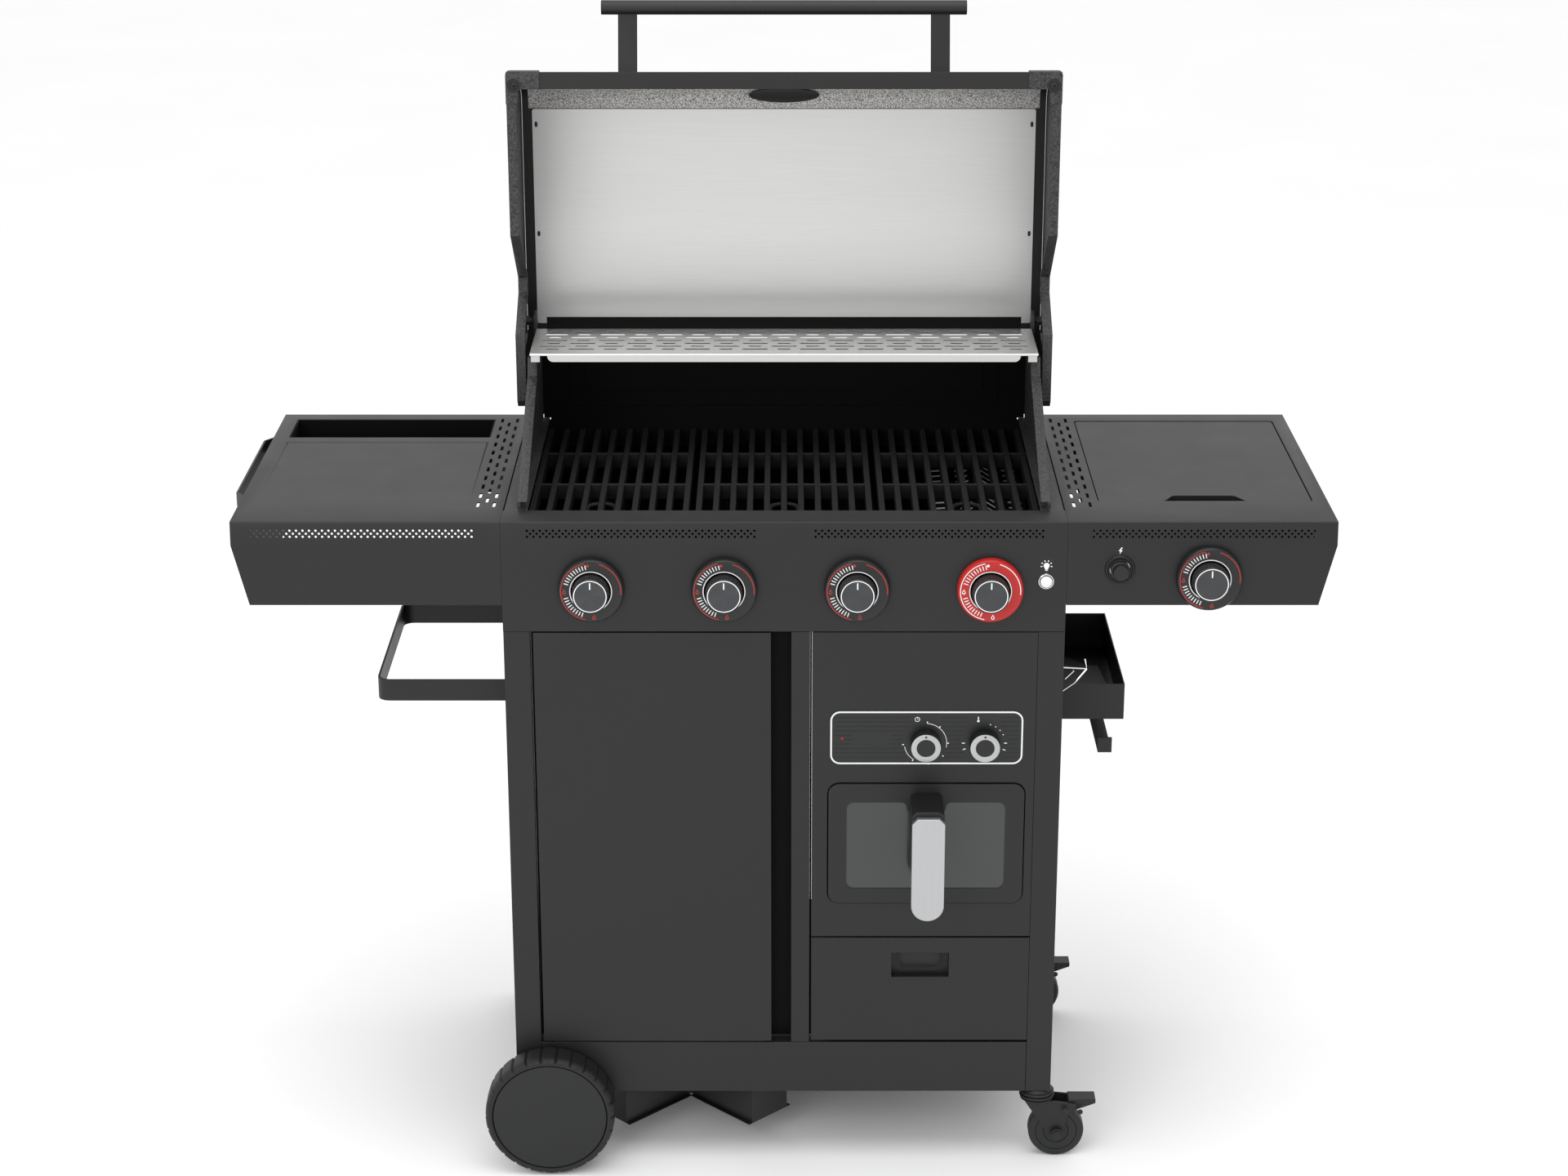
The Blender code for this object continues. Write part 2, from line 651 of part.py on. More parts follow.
def make_big_wheels():
    radius, half = WHEEL_RADIUS, WHEEL_WIDTH / 2
    bore = AXLE_RADIUS + AXLE_CLEARANCE
    depth = AXLE_LENGTH - WHEEL_PLAY + AXLE_CLEARANCE
    for place, outward, face in (("front", -1, LEG_FRONT), ("rear", 1, FRAME_REAR)):
        inner = face + outward * WHEEL_PLAY
        middle = inner + outward * half
        profile = [
            (bore, -half), (radius - WHEEL_SHOULDER, -half), (radius, -half + WHEEL_SHOULDER),
            (radius, half - WHEEL_SHOULDER), (radius - WHEEL_SHOULDER, half),
            (radius - WHEEL_RIM, half - CHAMFER), (0, half - CHAMFER), (0, depth - half),
            (bore, depth - half),
        ]
        # The profile runs from the wheel's inner face outwards.
        placed = [(r, middle + outward * t) for r, t in profile]
        bm = turned(placed, 1, (WHEEL_X, 0, radius), ROUND + 8)
        part(f"wheel_{place}", bm, "rubber", at=(WHEEL_X, middle, radius), smooth=True)


def make_caster(place):
    """A swivel fork with its wheel and brake pedal. The wheel trails to the right."""
    swivel = (CASTER_X, LEG_CENTRES[place], 0)
    hub = (CASTER_X + CASTER_TRAIL, swivel[1], CASTER_RADIUS)
    head_top = LEG_BOTTOM - GAP
    head_low = 2 * CASTER_RADIUS + CASTER_HEAD_CLEARANCE
    profile = [
        (0, head_low), (CASTER_HEAD_RADIUS - CHAMFER, head_low),
        (CASTER_HEAD_RADIUS, head_low + 2 * CHAMFER),
        (CASTER_HEAD_RADIUS, head_top - CHAMFER), (CASTER_HEAD_RADIUS - CHAMFER, head_top),
        (CASTER_STEM_RADIUS, head_top), (CASTER_STEM_RADIUS, head_top + CASTER_STEM_HEIGHT),
        (0, head_top + CASTER_STEM_HEIGHT),
    ]
    fork = part(f"caster_fork_{place}", turned(profile, 2, swivel), "black enamel", at=swivel)
    top = head_low + CHEEK_LAP
    cheek = [(swivel[0] - CHEEK_HALF_TOP, top)]
    cheek += [(hub[0] + across, hub[2] + rise) for across, rise in CHEEK_OUTLINE]
    cheek += [(cheek[-1][0], head_low - CHEEK_LAP), (swivel[0] + CHEEK_HALF_TOP, top)]
    reach = CASTER_WIDTH / 2 + FORK_CLEARANCE
    for sign in (-1, 1):
        y = sorted((hub[1] + sign * reach, hub[1] + sign * (reach + FORK_PLATE)))
        join(fork, prism(cheek, 1, *y))
    pin = grown((hub[1], hub[1]), reach + FORK_PLATE / 2)
    join(fork, rod(CASTER_PIN_RADIUS, 1, hub, *pin))

    half = CASTER_WIDTH / 2
    bore = CASTER_PIN_RADIUS + AXLE_CLEARANCE
    tread = [
        (bore, -half), (CASTER_RADIUS - CHAMFER, -half), (CASTER_RADIUS, -half + CHAMFER),
        (CASTER_RADIUS, half - CHAMFER), (CASTER_RADIUS - CHAMFER, half), (bore, half),
    ]
    placed = [(r, hub[1] + t) for r, t in tread]
    part(f"caster_wheel_{place}", turned(placed, 1, hub), "rubber", at=hub, smooth=True)

    pivot = (hub[0] + PEDAL_PIVOT[0], swivel[1], hub[2] + PEDAL_PIVOT[1])
    end, upper = swivel[0] + PEDAL_REACH, pivot[2] + 1.5 * PEDAL_THICK
    lever = [
        (pivot[0] - PEDAL_THICK * 4 / 3, pivot[2] - PEDAL_THICK / 3),
        (pivot[0] + PEDAL_THICK * 2 / 3, pivot[2] - PEDAL_THICK * 4 / 3),
        (end, upper - PEDAL_THICK), (end, upper), (pivot[0] - PEDAL_THICK * 2 / 3, upper),
    ]
    y = grown((swivel[1], swivel[1]), reach - FORK_CLEARANCE / 2)
    part(f"caster_pedal_{place}", prism(lever, 1, *y), "black plastic", at=pivot)


# ---- Control panel ----


def panel_front(z_low, z_high):
    """The folded front of the panel and the shelves: upright, with a strip that slopes back."""
    fold = z_high - STRIP_HEIGHT
    return [(0, z_low), (0, fold), (STRIP_SLOPE, z_high)]


def make_control_panel():
    path = [(PANEL_SHELF, TOP)] + panel_front(PANEL_BOTTOM, TOP)[::-1] + [(PANEL_RETURN, PANEL_BOTTOM)]
    bm = prism(strip_along(path, SHEET), 0, -BODY_HALF, BODY_HALF)
    panel = part("control_panel", bm, "black enamel")
    for x in BURNER_XS:
        cut(panel, rod(SHAFT_HOLE, 1, (x, 0, BURNER_Z), -SHEET, 2 * SHEET))
    hole = LIGHT_RADIUS + BUTTON_CLEARANCE
    cut(panel, rod(hole, 1, (LIGHT[0], 0, LIGHT[1]), -SHEET, 2 * SHEET))
    pin_z = (PANEL_BOTTOM - DOOR_PIN_LENGTH, PANEL_BOTTOM + SHEET / 2)
    join(panel, rod(DOOR_PIN_RADIUS, 2, (*DOOR_PIN, 0), *pin_z))


def knob_places():
    places = [(f"_{i + 1}", (x, 0, BURNER_Z)) for i, x in enumerate(BURNER_XS)]
    return places + [("", (SIDE_KNOB[0], 0, SIDE_KNOB[1]))]


def make_bezels():
    bore = SHAFT_HOLE + GAP
    profile = [
        (bore, -GAP), (BEZEL_RADIUS, -GAP), (BEZEL_RADIUS, BEZEL_EDGE - BEZEL_DEPTH),
        (BEZEL_RADIUS - BEZEL_EDGE, -BEZEL_DEPTH), (BEZEL_BORE + BEZEL_EDGE, -BEZEL_DEPTH),
        (BEZEL_BORE, BEZEL_EDGE - BEZEL_DEPTH), (BEZEL_BORE, -BEZEL_FLOOR), (bore, -BEZEL_FLOOR),
    ]
    for number, place in knob_places():
        name = f"knob_bezel{number}" if number else "side_burner_bezel"
        finish = "red enamel" if number == f"_{BURNER_COUNT}" else "black enamel"
        part(name, turned(profile, 1, place), finish, smooth=True)


def make_knobs():
    profile = [
        (0, SHAFT_END), (KNOB_SHAFT, SHAFT_END), (KNOB_SHAFT, -KNOB_BACK), (KNOB_RADIUS, -KNOB_BACK),
        (KNOB_RADIUS, KNOB_EDGE - KNOB_FRONT), (KNOB_RADIUS - KNOB_EDGE, -KNOB_FRONT),
        (0, -KNOB_FRONT),
    ]
    for number, place in knob_places():
        name = f"burner_knob{number}" if number else "side_burner_knob"
        part(name, turned(profile, 1, place), "black plastic", at=place, smooth=True)


def make_buttons():
    for name, place, radius, front in (
        ("light_button", LIGHT, LIGHT_RADIUS, LIGHT_FRONT),
        ("igniter_button", IGNITER, IGNITER_RADIUS, IGNITER_FRONT),
    ):
        centre = (place[0], 0, place[1])
        profile = [(0, BUTTON_END), (radius, BUTTON_END), (radius, BUTTON_EDGE - front)]
        profile += [(radius - BUTTON_EDGE, -front), (0, -front)]
        part(name, turned(profile, 1, centre, 24), "chrome", at=centre, smooth=True)


# ---- Firebox ----


def make_tub():
    """Open steel tub with a raised rear wall, ledges for the grates and rails for the grease tray."""
    x = (-TUB_HALF, TUB_HALF)
    bm = open_box(x, (TUB_FRONT, TUB_REAR), (TUB_BOTTOM, TUB_TOP), TUB_WALL, "+Z")
    tub = part("firebox_tub", bm, "cast iron")
    inside = (TUB_FRONT + TUB_WALL, TUB_REAR - TUB_WALL)
    rear_half = CASTING_X - CASTING_FLANGE - 4 * GAP
    rear_y = (inside[1] + TUB_WALL / 8, TUB_REAR - TUB_WALL / 8)
    join(tub, box((-rear_half, rear_half), rear_y, (TUB_TOP - REAR_WALL_LAP, TOP + REAR_WALL_TOP)))
    wide_half = CASTING_X - CASTING_WALL - 2 * GAP
    wide_z = (LEDGE_Z[1] + GAP, TOP + REAR_WALL_TOP)
    join(tub, box((-wide_half, wide_half), rear_y, wide_z))
    ledge_z = (GRATE_TOP - GRATE_HEIGHT - GRATE_LEDGE, GRATE_TOP - GRATE_HEIGHT - GAP)
    ledge_x = grown(x, -TUB_WALL / 2)
    join(tub, box(ledge_x, (inside[0] - TUB_WALL / 2, inside[0] + GRATE_LEDGE_DEPTH), ledge_z))
    join(tub, box(ledge_x, (inside[1] - GRATE_LEDGE_DEPTH, inside[1] + TUB_WALL / 2), ledge_z))
    for burner_x in BURNER_XS:
        hole = VENTURI_RADIUS + VENTURI_CLEARANCE
        ends = (TUB_FRONT - TUB_WALL, TUB_FRONT + 2 * TUB_WALL)
        cut(tub, rod(hole, 1, (burner_x, 0, BURNER_Z), *ends))
    middle = (TRAY_FRONT + TRAY_REAR) / 2
    hole_y = grown((middle, middle), GREASE_HOLE)
    cut(tub, box((-GREASE_HOLE, GREASE_HOLE), hole_y, grown((TUB_BOTTOM, TUB_BOTTOM), 2 * TUB_WALL)))
    tray_low = TUB_BOTTOM - TRAY_HANG - TRAY_HEIGHT
    for side in (-1, 1):
        edge = TRAY_HALF_WIDTH + RAIL_SIDE
        shape = [
            (edge, TUB_BOTTOM + TUB_WALL / 2), (edge, tray_low - GAP),
            (edge - RAIL_LIP, tray_low - GAP), (edge - RAIL_LIP, tray_low - GAP - RAIL_SIDE),
            (edge + RAIL_SIDE, tray_low - GAP - RAIL_SIDE), (edge + RAIL_SIDE, TUB_BOTTOM + TUB_WALL / 2),
        ]
        join(tub, prism([(side * a, b) for a, b in shape], 1, TRAY_FRONT, TRAY_REAR))


def casting_top():
    """The casting's upper edge from front to back, up to where the warming rack rests."""
    slope = [(y, TOP + rise) for y, rise in CASTING_SLOPE]
    return slope + [(CASTING_STEP, RACK_REST - GAP), (HINGE_Y - CASTING_EAR, RACK_REST - GAP)]


def make_firebox_ends():
    """Side castings: a ledge that the lid closes onto, a raised wall and the hinge pin."""
    for side in (-1, 1):
        inner = CASTING_X - CASTING_FLANGE
        ledge_x = mirrored((inner, BODY_HALF - 3 * GAP), side)
        ledge = box(ledge_x, (TUB_FRONT, TUB_REAR), LEDGE_Z)
        end = part(f"firebox_end_{side_name(side)}", ledge, "textured black")
        foot = (LEDGE_Z[0] + LEDGE_Z[1]) / 2
        ear = arc((HINGE_Y, HINGE_Z), CASTING_EAR, 180, 0, 6)
        wall = [(CASTING_SLOPE[0][0], foot)] + casting_top() + ear
        rear = TUB_REAR - TUB_WALL - GAP
        low_top = TOP + CASTING_REAR_TOP
        wall += [(HINGE_Y + 2 * CASTING_EAR, low_top), (rear, low_top), (rear, foot)]
        join(end, prism(wall, 0, *mirrored((CASTING_X - CASTING_WALL, CASTING_X), side)))
        flange = strip_along(casting_top()[::-1], CASTING_FLANGE_THICK)
        flange_x = mirrored((inner, CASTING_X - GAP), side)
        join(end, prism(flange, 0, *flange_x))
        pin_x = mirrored((CASTING_X - CASTING_WALL / 2, LID_HALF - GAP), side)
        join(end, rod(HINGE_PIN, 0, (0, HINGE_Y, HINGE_Z), *pin_x))


def make_burners():
    """The gas manifold with a valve, a venturi and a burner tube for each knob."""
    ends = (BURNER_XS[0] - MANIFOLD_END, BURNER_XS[-1] + MANIFOLD_END)
    centre = (0, MANIFOLD_Y, BURNER_Z)
    burners = part("burner_assembly", rod(MANIFOLD_RADIUS, 0, centre, *ends), "aluminised steel")
    valve = MANIFOLD_RADIUS - VALVE_INSET
    valve_end = MANIFOLD_Y + VALVE_REACH
    profile = [
        (0, SHAFT_END + VALVE_GAP), (valve, SHAFT_END + VALVE_GAP), (valve, valve_end),
        (VENTURI_RADIUS, valve_end), (VENTURI_RADIUS, BURNER_FRONT),
        (BURNER_RADIUS, BURNER_FRONT), (BURNER_RADIUS, BURNER_REAR), (0, BURNER_REAR),
    ]
    for x in BURNER_XS:
        join(burners, turned(profile, 1, (x, 0, BURNER_Z), BURNER_SIDES))


def make_heat_tents():
    """A ridged plate over each burner, on two strips that lie across the tub."""
    foot = TOP - TENT_FOOT_DROP
    reach = TUB_HALF - TUB_WALL - GAP
    y = (TUB_FRONT + TUB_WALL + TENT_FRONT_GAP, TUB_REAR - TUB_WALL - TENT_REAR_GAP)
    strip_z = (foot - TENT_STRIP_THICK * 4 / 7, foot + TENT_STRIP_THICK * 3 / 7)
    front_y = (y[0], y[0] + TENT_STRIP_WIDTH)
    tents = part("heat_tents", box((-reach, reach), front_y, strip_z), "stainless steel")
    join(tents, box((-reach, reach), (y[1] - TENT_STRIP_WIDTH, y[1]), strip_z))
    for x in BURNER_XS:
        ridge = [(x + TENT_HALF_WIDTH, foot), (x, foot + TENT_RISE), (x - TENT_HALF_WIDTH, foot)]
        join(tents, prism(strip_along(ridge, TENT_THICK), 1, *grown(y, -TENT_STRIP_WIDTH / 8)))


def make_grates():
    """Three cast grates. Bars run front to back and lie on the tub's ledges."""
    reach = TUB_HALF - TUB_WALL - GRATE_SIDE_CLEARANCE
    width = (2 * reach - (GRATE_COUNT - 1) * GRATE_SPACING) / GRATE_COUNT
    pitch = (width - BAR_WIDTH) / (BAR_COUNT - 1)
    y = grown((TUB_FRONT + TUB_WALL, TUB_REAR - TUB_WALL), -GRATE_END_CLEARANCE)
    z = (GRATE_TOP - GRATE_HEIGHT, GRATE_TOP)
    for index, name in enumerate(("left", "middle", "right")):
        x = -reach + index * (width + GRATE_SPACING)
        columns = [(x + i * pitch, x + i * pitch + BAR_WIDTH) for i in range(BAR_COUNT)]
        rows = [grown((row, row), CROSSBAR_WIDTH / 2) for row in CROSSBARS]
        bm = lattice(columns, rows, y, z)
        pivots = {
            "left": (x, 0, GRATE_TOP), "middle": (0, 0, GRATE_TOP), "right": (x + width, 0, GRATE_TOP),
        }
        part(f"grate_{name}", bm, "cast iron", at=pivots[name])


def lattice(columns, rows, y, z):
    """Bars along Y, joined by cross bars between their neighbours, all between two heights."""
    xs = [value for column in columns for value in column]
    ys = [y[0]] + [value for row in rows for value in row] + [y[1]]
    bm = bmesh.new()
    grid = [[bm.verts.new((a, b, z[0])) for b in ys] for a in xs]
    for i in range(len(xs) - 1):
        for j in range(len(ys) - 1):
            if i % 2 == 0 or j % 2 == 1:
                bm.faces.new((grid[i][j], grid[i + 1][j], grid[i + 1][j + 1], grid[i][j + 1]))
    grown_faces = bmesh.ops.extrude_face_region(bm, geom=list(bm.faces))["geom"]
    moved = [v for v in grown_faces if isinstance(v, bmesh.types.BMVert)]
    bmesh.ops.translate(bm, verts=moved, vec=(0, 0, z[1] - z[0]))
    return bm


def make_warming_rack():
    reach = BODY_HALF - RACK_INSET
    path = [
        (RACK_REAR, RACK_TOP + RACK_UPSTAND), (RACK_REAR, RACK_TOP - RACK_THICK),
        (RACK_FRONT + RACK_THICK, RACK_TOP - RACK_THICK), (RACK_FRONT + RACK_THICK, RACK_TOP - RACK_LIP),
    ]
    outline = path + [
        (RACK_FRONT, RACK_TOP - RACK_LIP), (RACK_FRONT, RACK_TOP),
        (RACK_REAR - RACK_THICK, RACK_TOP), (RACK_REAR - RACK_THICK, RACK_TOP + RACK_UPSTAND),
    ]
    rest = (0, (RACK_FRONT + RACK_REAR) / 2, RACK_REST)
    rack = part("warming_rack", prism(outline, 0, -reach, reach), "stainless steel", at=rest)
    for side in (-1, 1):
        foot_x = mirrored((CASTING_X - CASTING_FLANGE, reach - RACK_THICK / 4), side)
        foot_y = (CASTING_STEP + RACK_FOOT_INSET, RACK_REAR - RACK_FOOT_INSET)
        join(rack, box(foot_x, foot_y, (RACK_REST, RACK_TOP - RACK_THICK / 2)))


def make_grease_tray():
    top = TUB_BOTTOM - TRAY_HANG
    x = grown((-TRAY_HALF_WIDTH, TRAY_HALF_WIDTH), -GAP)
    bm = open_box(x, (TRAY_FRONT, TRAY_REAR), (top - TRAY_HEIGHT, top), SHEET, "+Z")
    part("grease_tray", bm, "aluminised steel", at=(0, TRAY_REAR, top))


# ---- Lid ----


def lid_wall():
    """The lid's outer line from the front lip over the shoulder to its rear end, from the hinge."""
    lip = Vector((LID_RIM_Y, LID_TIP))
    shoulder = Vector((LID_TOP_Y, LID_SHOULDER))
    slope = (shoulder - lip).normalized()
    lean = math.degrees(math.atan2(-slope.y, slope.x))
    # The corner's arc touches the sloping front wall and the upright top sheet.
    back = LID_CORNER * math.tan(math.radians((90 - lean) / 2))
    centre = (LID_TOP_Y - LID_CORNER, LID_SHOULDER - back)
    corner = arc(centre, LID_CORNER, 90 - lean, 0)
    return [tuple(lip)] + corner + [(LID_TOP_Y, LID_TAIL)]


def from_hinge(points):
    return [(HINGE_Y + y, HINGE_Z + z) for y, z in points]


def make_lid_shell():
    lip = lid_wall()[0]
    path = [(lip[0], lip[1] - LID_RIM_FLANGE)] + lid_wall()
    reach = LID_HALF - LID_END_WALL - GAP
    outline = strip_along(from_hinge(path)[::-1], LID_SHEET)
    bm = prism(outline, 0, -reach, reach)
    part("lid_shell", bm, "black enamel", at=(0, HINGE_Y, HINGE_Z))


def lid_end_outline():
    """The end's rim with its notch and tail, then back over the lid's outer line."""
    return lid_wall()[:-1] + [(LID_TOP_Y, LID_TAIL), *LID_END_TAIL, (LID_RIM_Y, LID_RIM_LOW)]


def make_lid_ends():
    """Cast ends: a plate with a flange all round on its inner side, and a bore for the hinge pin."""
    for side in (-1, 1):
        x = mirrored((LID_HALF - LID_END_WALL, LID_HALF), side)
        origin = (side * LID_HALF, HINGE_Y, HINGE_Z)
        outline = from_hinge(lid_end_outline())
        end = part(f"lid_end_{side_name(side)}", prism(outline, 0, *x), "textured black", at=origin)
        flange_x = mirrored((LID_HALF - LID_END_FLANGE, LID_HALF - LID_END_WALL / 2), side)
        rim_top = LID_TIP - LID_RIM_FLANGE - LID_SHEET
        edge = [(LID_RIM_Y, rim_top), (LID_RIM_Y, LID_RIM_LOW), *LID_END_TAIL[:1:-1]]
        rim_edge = from_hinge(edge)
        join(end, prism(strip_along(rim_edge, LID_END_FLANGE_THICK), 0, *flange_x))
        bore_x = mirrored((LID_HALF - 2 * LID_END_FLANGE, LID_HALF + LID_END_WALL), side)
        cut(end, rod(HINGE_PIN + HINGE_CLEARANCE, 0, (0, HINGE_Y, HINGE_Z), *bore_x))


def make_lid_handle():
    """A tube on two flat brackets that stand square to the lid's front wall."""
    lip = Vector(lid_wall()[0])
    slope = (Vector((LID_TOP_Y, LID_SHOULDER)) - lip).normalized()
    square = Vector((-slope.y, slope.x))
    foot = lip + slope * HANDLE_FOOT
    tube = foot + square * HANDLE_STANDOFF
    place = from_hinge([tuple(tube)])[0]
    origin = (0, HINGE_Y, HINGE_Z)
    bm = rod(HANDLE_RADIUS, 0, (0, *place), -HANDLE_HALF_LENGTH, HANDLE_HALF_LENGTH, 24)
    handle = part("lid_handle", bm, "black enamel", at=origin, smooth=True)
    corners = [
        foot + square * GAP - slope * BRACKET_THICK / 2, foot + square * GAP + slope * BRACKET_THICK / 2,
        tube + slope * BRACKET_THICK / 2, tube - slope * BRACKET_THICK / 2,
    ]
    for side in (-1, 1):
        x = mirrored((BRACKET_X - BRACKET_WIDTH / 2, BRACKET_X + BRACKET_WIDTH / 2), side)
        join(handle, prism(from_hinge([tuple(c) for c in corners]), 0, *x))


# ---- Shelves ----


def make_shelf(side):
    """A folded shelf, open below, with an end that tapers inwards under the sloped strip."""
    low = TOP - SHELF_HEIGHT
    path = panel_front(low, TOP) + [(SHELF_DEPTH, TOP), (SHELF_DEPTH, low)]
    outer = BODY_HALF + SHELF_WIDTH
    x = mirrored((BODY_HALF + GAP, outer), side)
    bm = prism(strip_along(path[::-1], SHEET), 0, *x)
    shelf = part(f"{side_name(side)}_shelf", bm, "black enamel")
    fold = TOP - STRIP_HEIGHT
    past = outer + CUT_PAST
    under = low - CUT_PAST
    corner = [(outer, fold), (past, fold), (past, under)]
    slope = SHELF_TAPER / (fold - low)
    corner += [(outer - slope * (fold - under), under)]
    taper = prism([(side * a, b) for a, b in corner], 1, -CUT_PAST, SHELF_DEPTH + CUT_PAST)
    cut(shelf, taper)
    end = [(outer - SHELF_TAPER, low), (outer, fold), (outer, TOP - SHEET / 2)]
    sheet = strip_along(end, SHEET)
    inside = (STRIP_SLOPE + SHEET / 2, SHELF_DEPTH - SHEET / 2)
    join(shelf, prism([(side * a, b) for a, b in sheet], 1, *inside))
    inner = mirrored((BODY_HALF + GAP, BODY_HALF + GAP + SHEET), side)
    join(shelf, box(inner, inside, (low, TOP - SHEET / 2)))
    return shelf


def make_left_shelf():
    """Left shelf with the opening for the condiment trough."""
    shelf = make_shelf(-1)
    opening = mirrored([BODY_HALF + value for value in TROUGH_X], -1)
    cut(shelf, box(opening, TROUGH_Y, grown((TOP, TOP), 2 * SHEET)))
    x = grown(opening, -TROUGH_CLEARANCE)
    y = grown(TROUGH_Y, -TROUGH_CLEARANCE)
    bm = open_box(x, y, (TOP - TROUGH_DEPTH, TOP - TROUGH_CLEARANCE), SHEET, "+Z")
    part("condiment_trough", bm, "black enamel")


def make_right_shelf():
    """Right shelf with the opening for the side burner's lid, and holes for its controls."""
    shelf = make_shelf(1)
    x = grown([BODY_HALF + value for value in BURNER_LID_X], BURNER_LID_GAP)
    y = (BURNER_LID_Y[0] - BURNER_LID_GAP, BURNER_LID_Y[1] + BURNER_LID_REAR_GAP)
    cut(shelf, box(x, y, grown((TOP, TOP), 2 * SHEET)))
    cut(shelf, rod(SHAFT_HOLE, 1, (SIDE_KNOB[0], 0, SIDE_KNOB[1]), -SHEET, 2 * SHEET))
    hole = IGNITER_RADIUS + BUTTON_CLEARANCE
    cut(shelf, rod(hole, 1, (IGNITER[0], 0, IGNITER[1]), -SHEET, 2 * SHEET))


def make_side_burner():
    """A pan under the lid, with its burner and two bars for a pot, and the lid on its pin."""
    pin = (0, BURNER_LID_Y[1] - BURNER_LID_PIN_INSET, TOP - BURNER_LID_PIN_DROP)
    lid_x = [BODY_HALF + value for value in BURNER_LID_X]
    pan_x = grown(lid_x, PAN_MARGIN)
    pan_y = grown(BURNER_LID_Y, PAN_MARGIN)
    pan_top = TOP - SHEET - GAP
    low = pan_top - PAN_DEPTH
    pan = part("side_burner", open_box(pan_x, pan_y, (low, pan_top), SHEET, "+Z"), "textured black")
    centre = (sum(lid_x) / 2, sum(BURNER_LID_Y) / 2, 0)
    join(pan, rod(PAN_BURNER_RADIUS, 2, centre, low + SHEET / 2, low + PAN_BURNER_HEIGHT, ROUND))
    bar_z = (pan_top - POT_BAR_DROP - POT_BAR_HEIGHT, pan_top - POT_BAR_DROP)
    bar_x = grown((centre[0], centre[0]), POT_BAR / 2)
    bar_y = grown((centre[1], centre[1]), POT_BAR / 2)
    join(pan, box(grown(pan_x, -SHEET / 2), bar_y, bar_z))
    join(pan, box(bar_x, grown(pan_y, -SHEET / 2), bar_z))
    hole = BURNER_LID_PIN + BURNER_LID_PIN_CLEARANCE
    cut(pan, rod(hole, 0, pin, pan_x[0] - SHEET, pan_x[0] + 2 * SHEET))
    cut(pan, rod(hole, 0, pin, pan_x[1] - 2 * SHEET, pan_x[1] + SHEET))

    top = TOP - BURNER_LID_DROP
    bm = open_box(lid_x, BURNER_LID_Y, (top - BURNER_LID_DEPTH, top), BURNER_LID_SHEET, "-Z")
    lid = part("side_burner_lid", bm, "black enamel", at=(centre[0], *pin[1:]))
    notch_x = [BODY_HALF + value for value in NOTCH_X]
    notch_y = (BURNER_LID_Y[0] - NOTCH_DEPTH, BURNER_LID_Y[0] + NOTCH_DEPTH)
    cut(lid, box(notch_x, notch_y, grown((top, top), 2 * BURNER_LID_DEPTH)))
    join(lid, rod(BURNER_LID_PIN, 0, pin, pan_x[0] + SHEET / 3, pan_x[1] - SHEET / 3))


# ---- On the cabinet's sides ----


def make_bag_holder():
    """A flat bar bent to a U, fixed to the left side of the cabinet."""
    outer = BODY_HALF + HOLDER_WIDTH
    low, high = HOLDER_Y
    r = HOLDER_CORNER
    path = [(BODY_HALF + GAP, low)] + arc((outer - r, low + r), r, -90, 0)
    path += arc((outer - r, high - r), r, 0, 90) + [(BODY_HALF + GAP, high)]
    outline = [(-a, b) for a, b in strip_along(path, HOLDER_THICK)]
    part("bag_holder", prism(outline, 2, HOLDER_TOP - HOLDER_HEIGHT, HOLDER_TOP), "black enamel")


def make_side_caddy():
    """A bottle caddy on the right side of the cabinet, with a hook strap below it."""
    x = (BODY_HALF + GAP, BODY_HALF + CADDY_WIDTH)
    caddy = part("side_caddy", open_box(x, CADDY_Y, CADDY_Z, SHEET, "+Z"), "black enamel")
    path = [
        (HOOK_FRONT, HOOK_Z + HOOK_TIP), (HOOK_FRONT, HOOK_Z), (HOOK_REAR - HOOK_SLOPE, HOOK_Z),
        (HOOK_REAR, CADDY_Z[0] + SHEET / 2),
    ]
    hook_x = [BODY_HALF + value for value in HOOK_X]
    join(caddy, prism(strip_along(path, HOOK_THICK), 0, *hook_x))


# ---- Cabinet front ----


def make_door():
    bm = open_box(DOOR_X, (0, DOOR_DEPTH), DOOR_Z, SHEET, "+Y")
    door = part("cabinet_door", bm, "black enamel", at=(*DOOR_PIN, DOOR_Z[0]))
    hole = DOOR_PIN_RADIUS + DOOR_PIN_CLEARANCE
    for end in DOOR_Z:
        cut(door, rod(hole, 2, (*DOOR_PIN, 0), end - 2 * SHEET, end + 2 * SHEET))


def dial_places():
    z = FASCIA_LOW + DIAL_RISE
    names = ("timer_knob", "temperature_knob")
    return [(name, (LEG_INNER - offset, 0, z)) for name, offset in zip(names, DIAL_X)]


def make_fryer_fascia():
    """The fryer's front sheet, with the drawer's opening and holes for its two dials."""
    y = (LEG_FRONT, LEG_FRONT + DRAWER_FRONT_DEPTH)
    bm = open_box(FASCIA_X, y, (FASCIA_LOW, FASCIA_TOP), SHEET, "+Y")
    fascia = part("fryer_fascia", bm, "black enamel")
    opening_x = grown(FRYER_FRONT_X, FRYER_GAP)
    opening_z = grown(FRYER_FRONT_Z, FRYER_GAP)
    outline = rounded_rectangle(opening_x, opening_z, FRYER_FRONT_CORNER + FRYER_GAP)
    cut(fascia, prism(outline, 1, -SHEET, LEG_FRONT + 3 * SHEET))
    for _, place in dial_places():
        cut(fascia, rod(DIAL_SHAFT + BUTTON_CLEARANCE, 1, place, -SHEET, LEG_FRONT + 3 * SHEET))


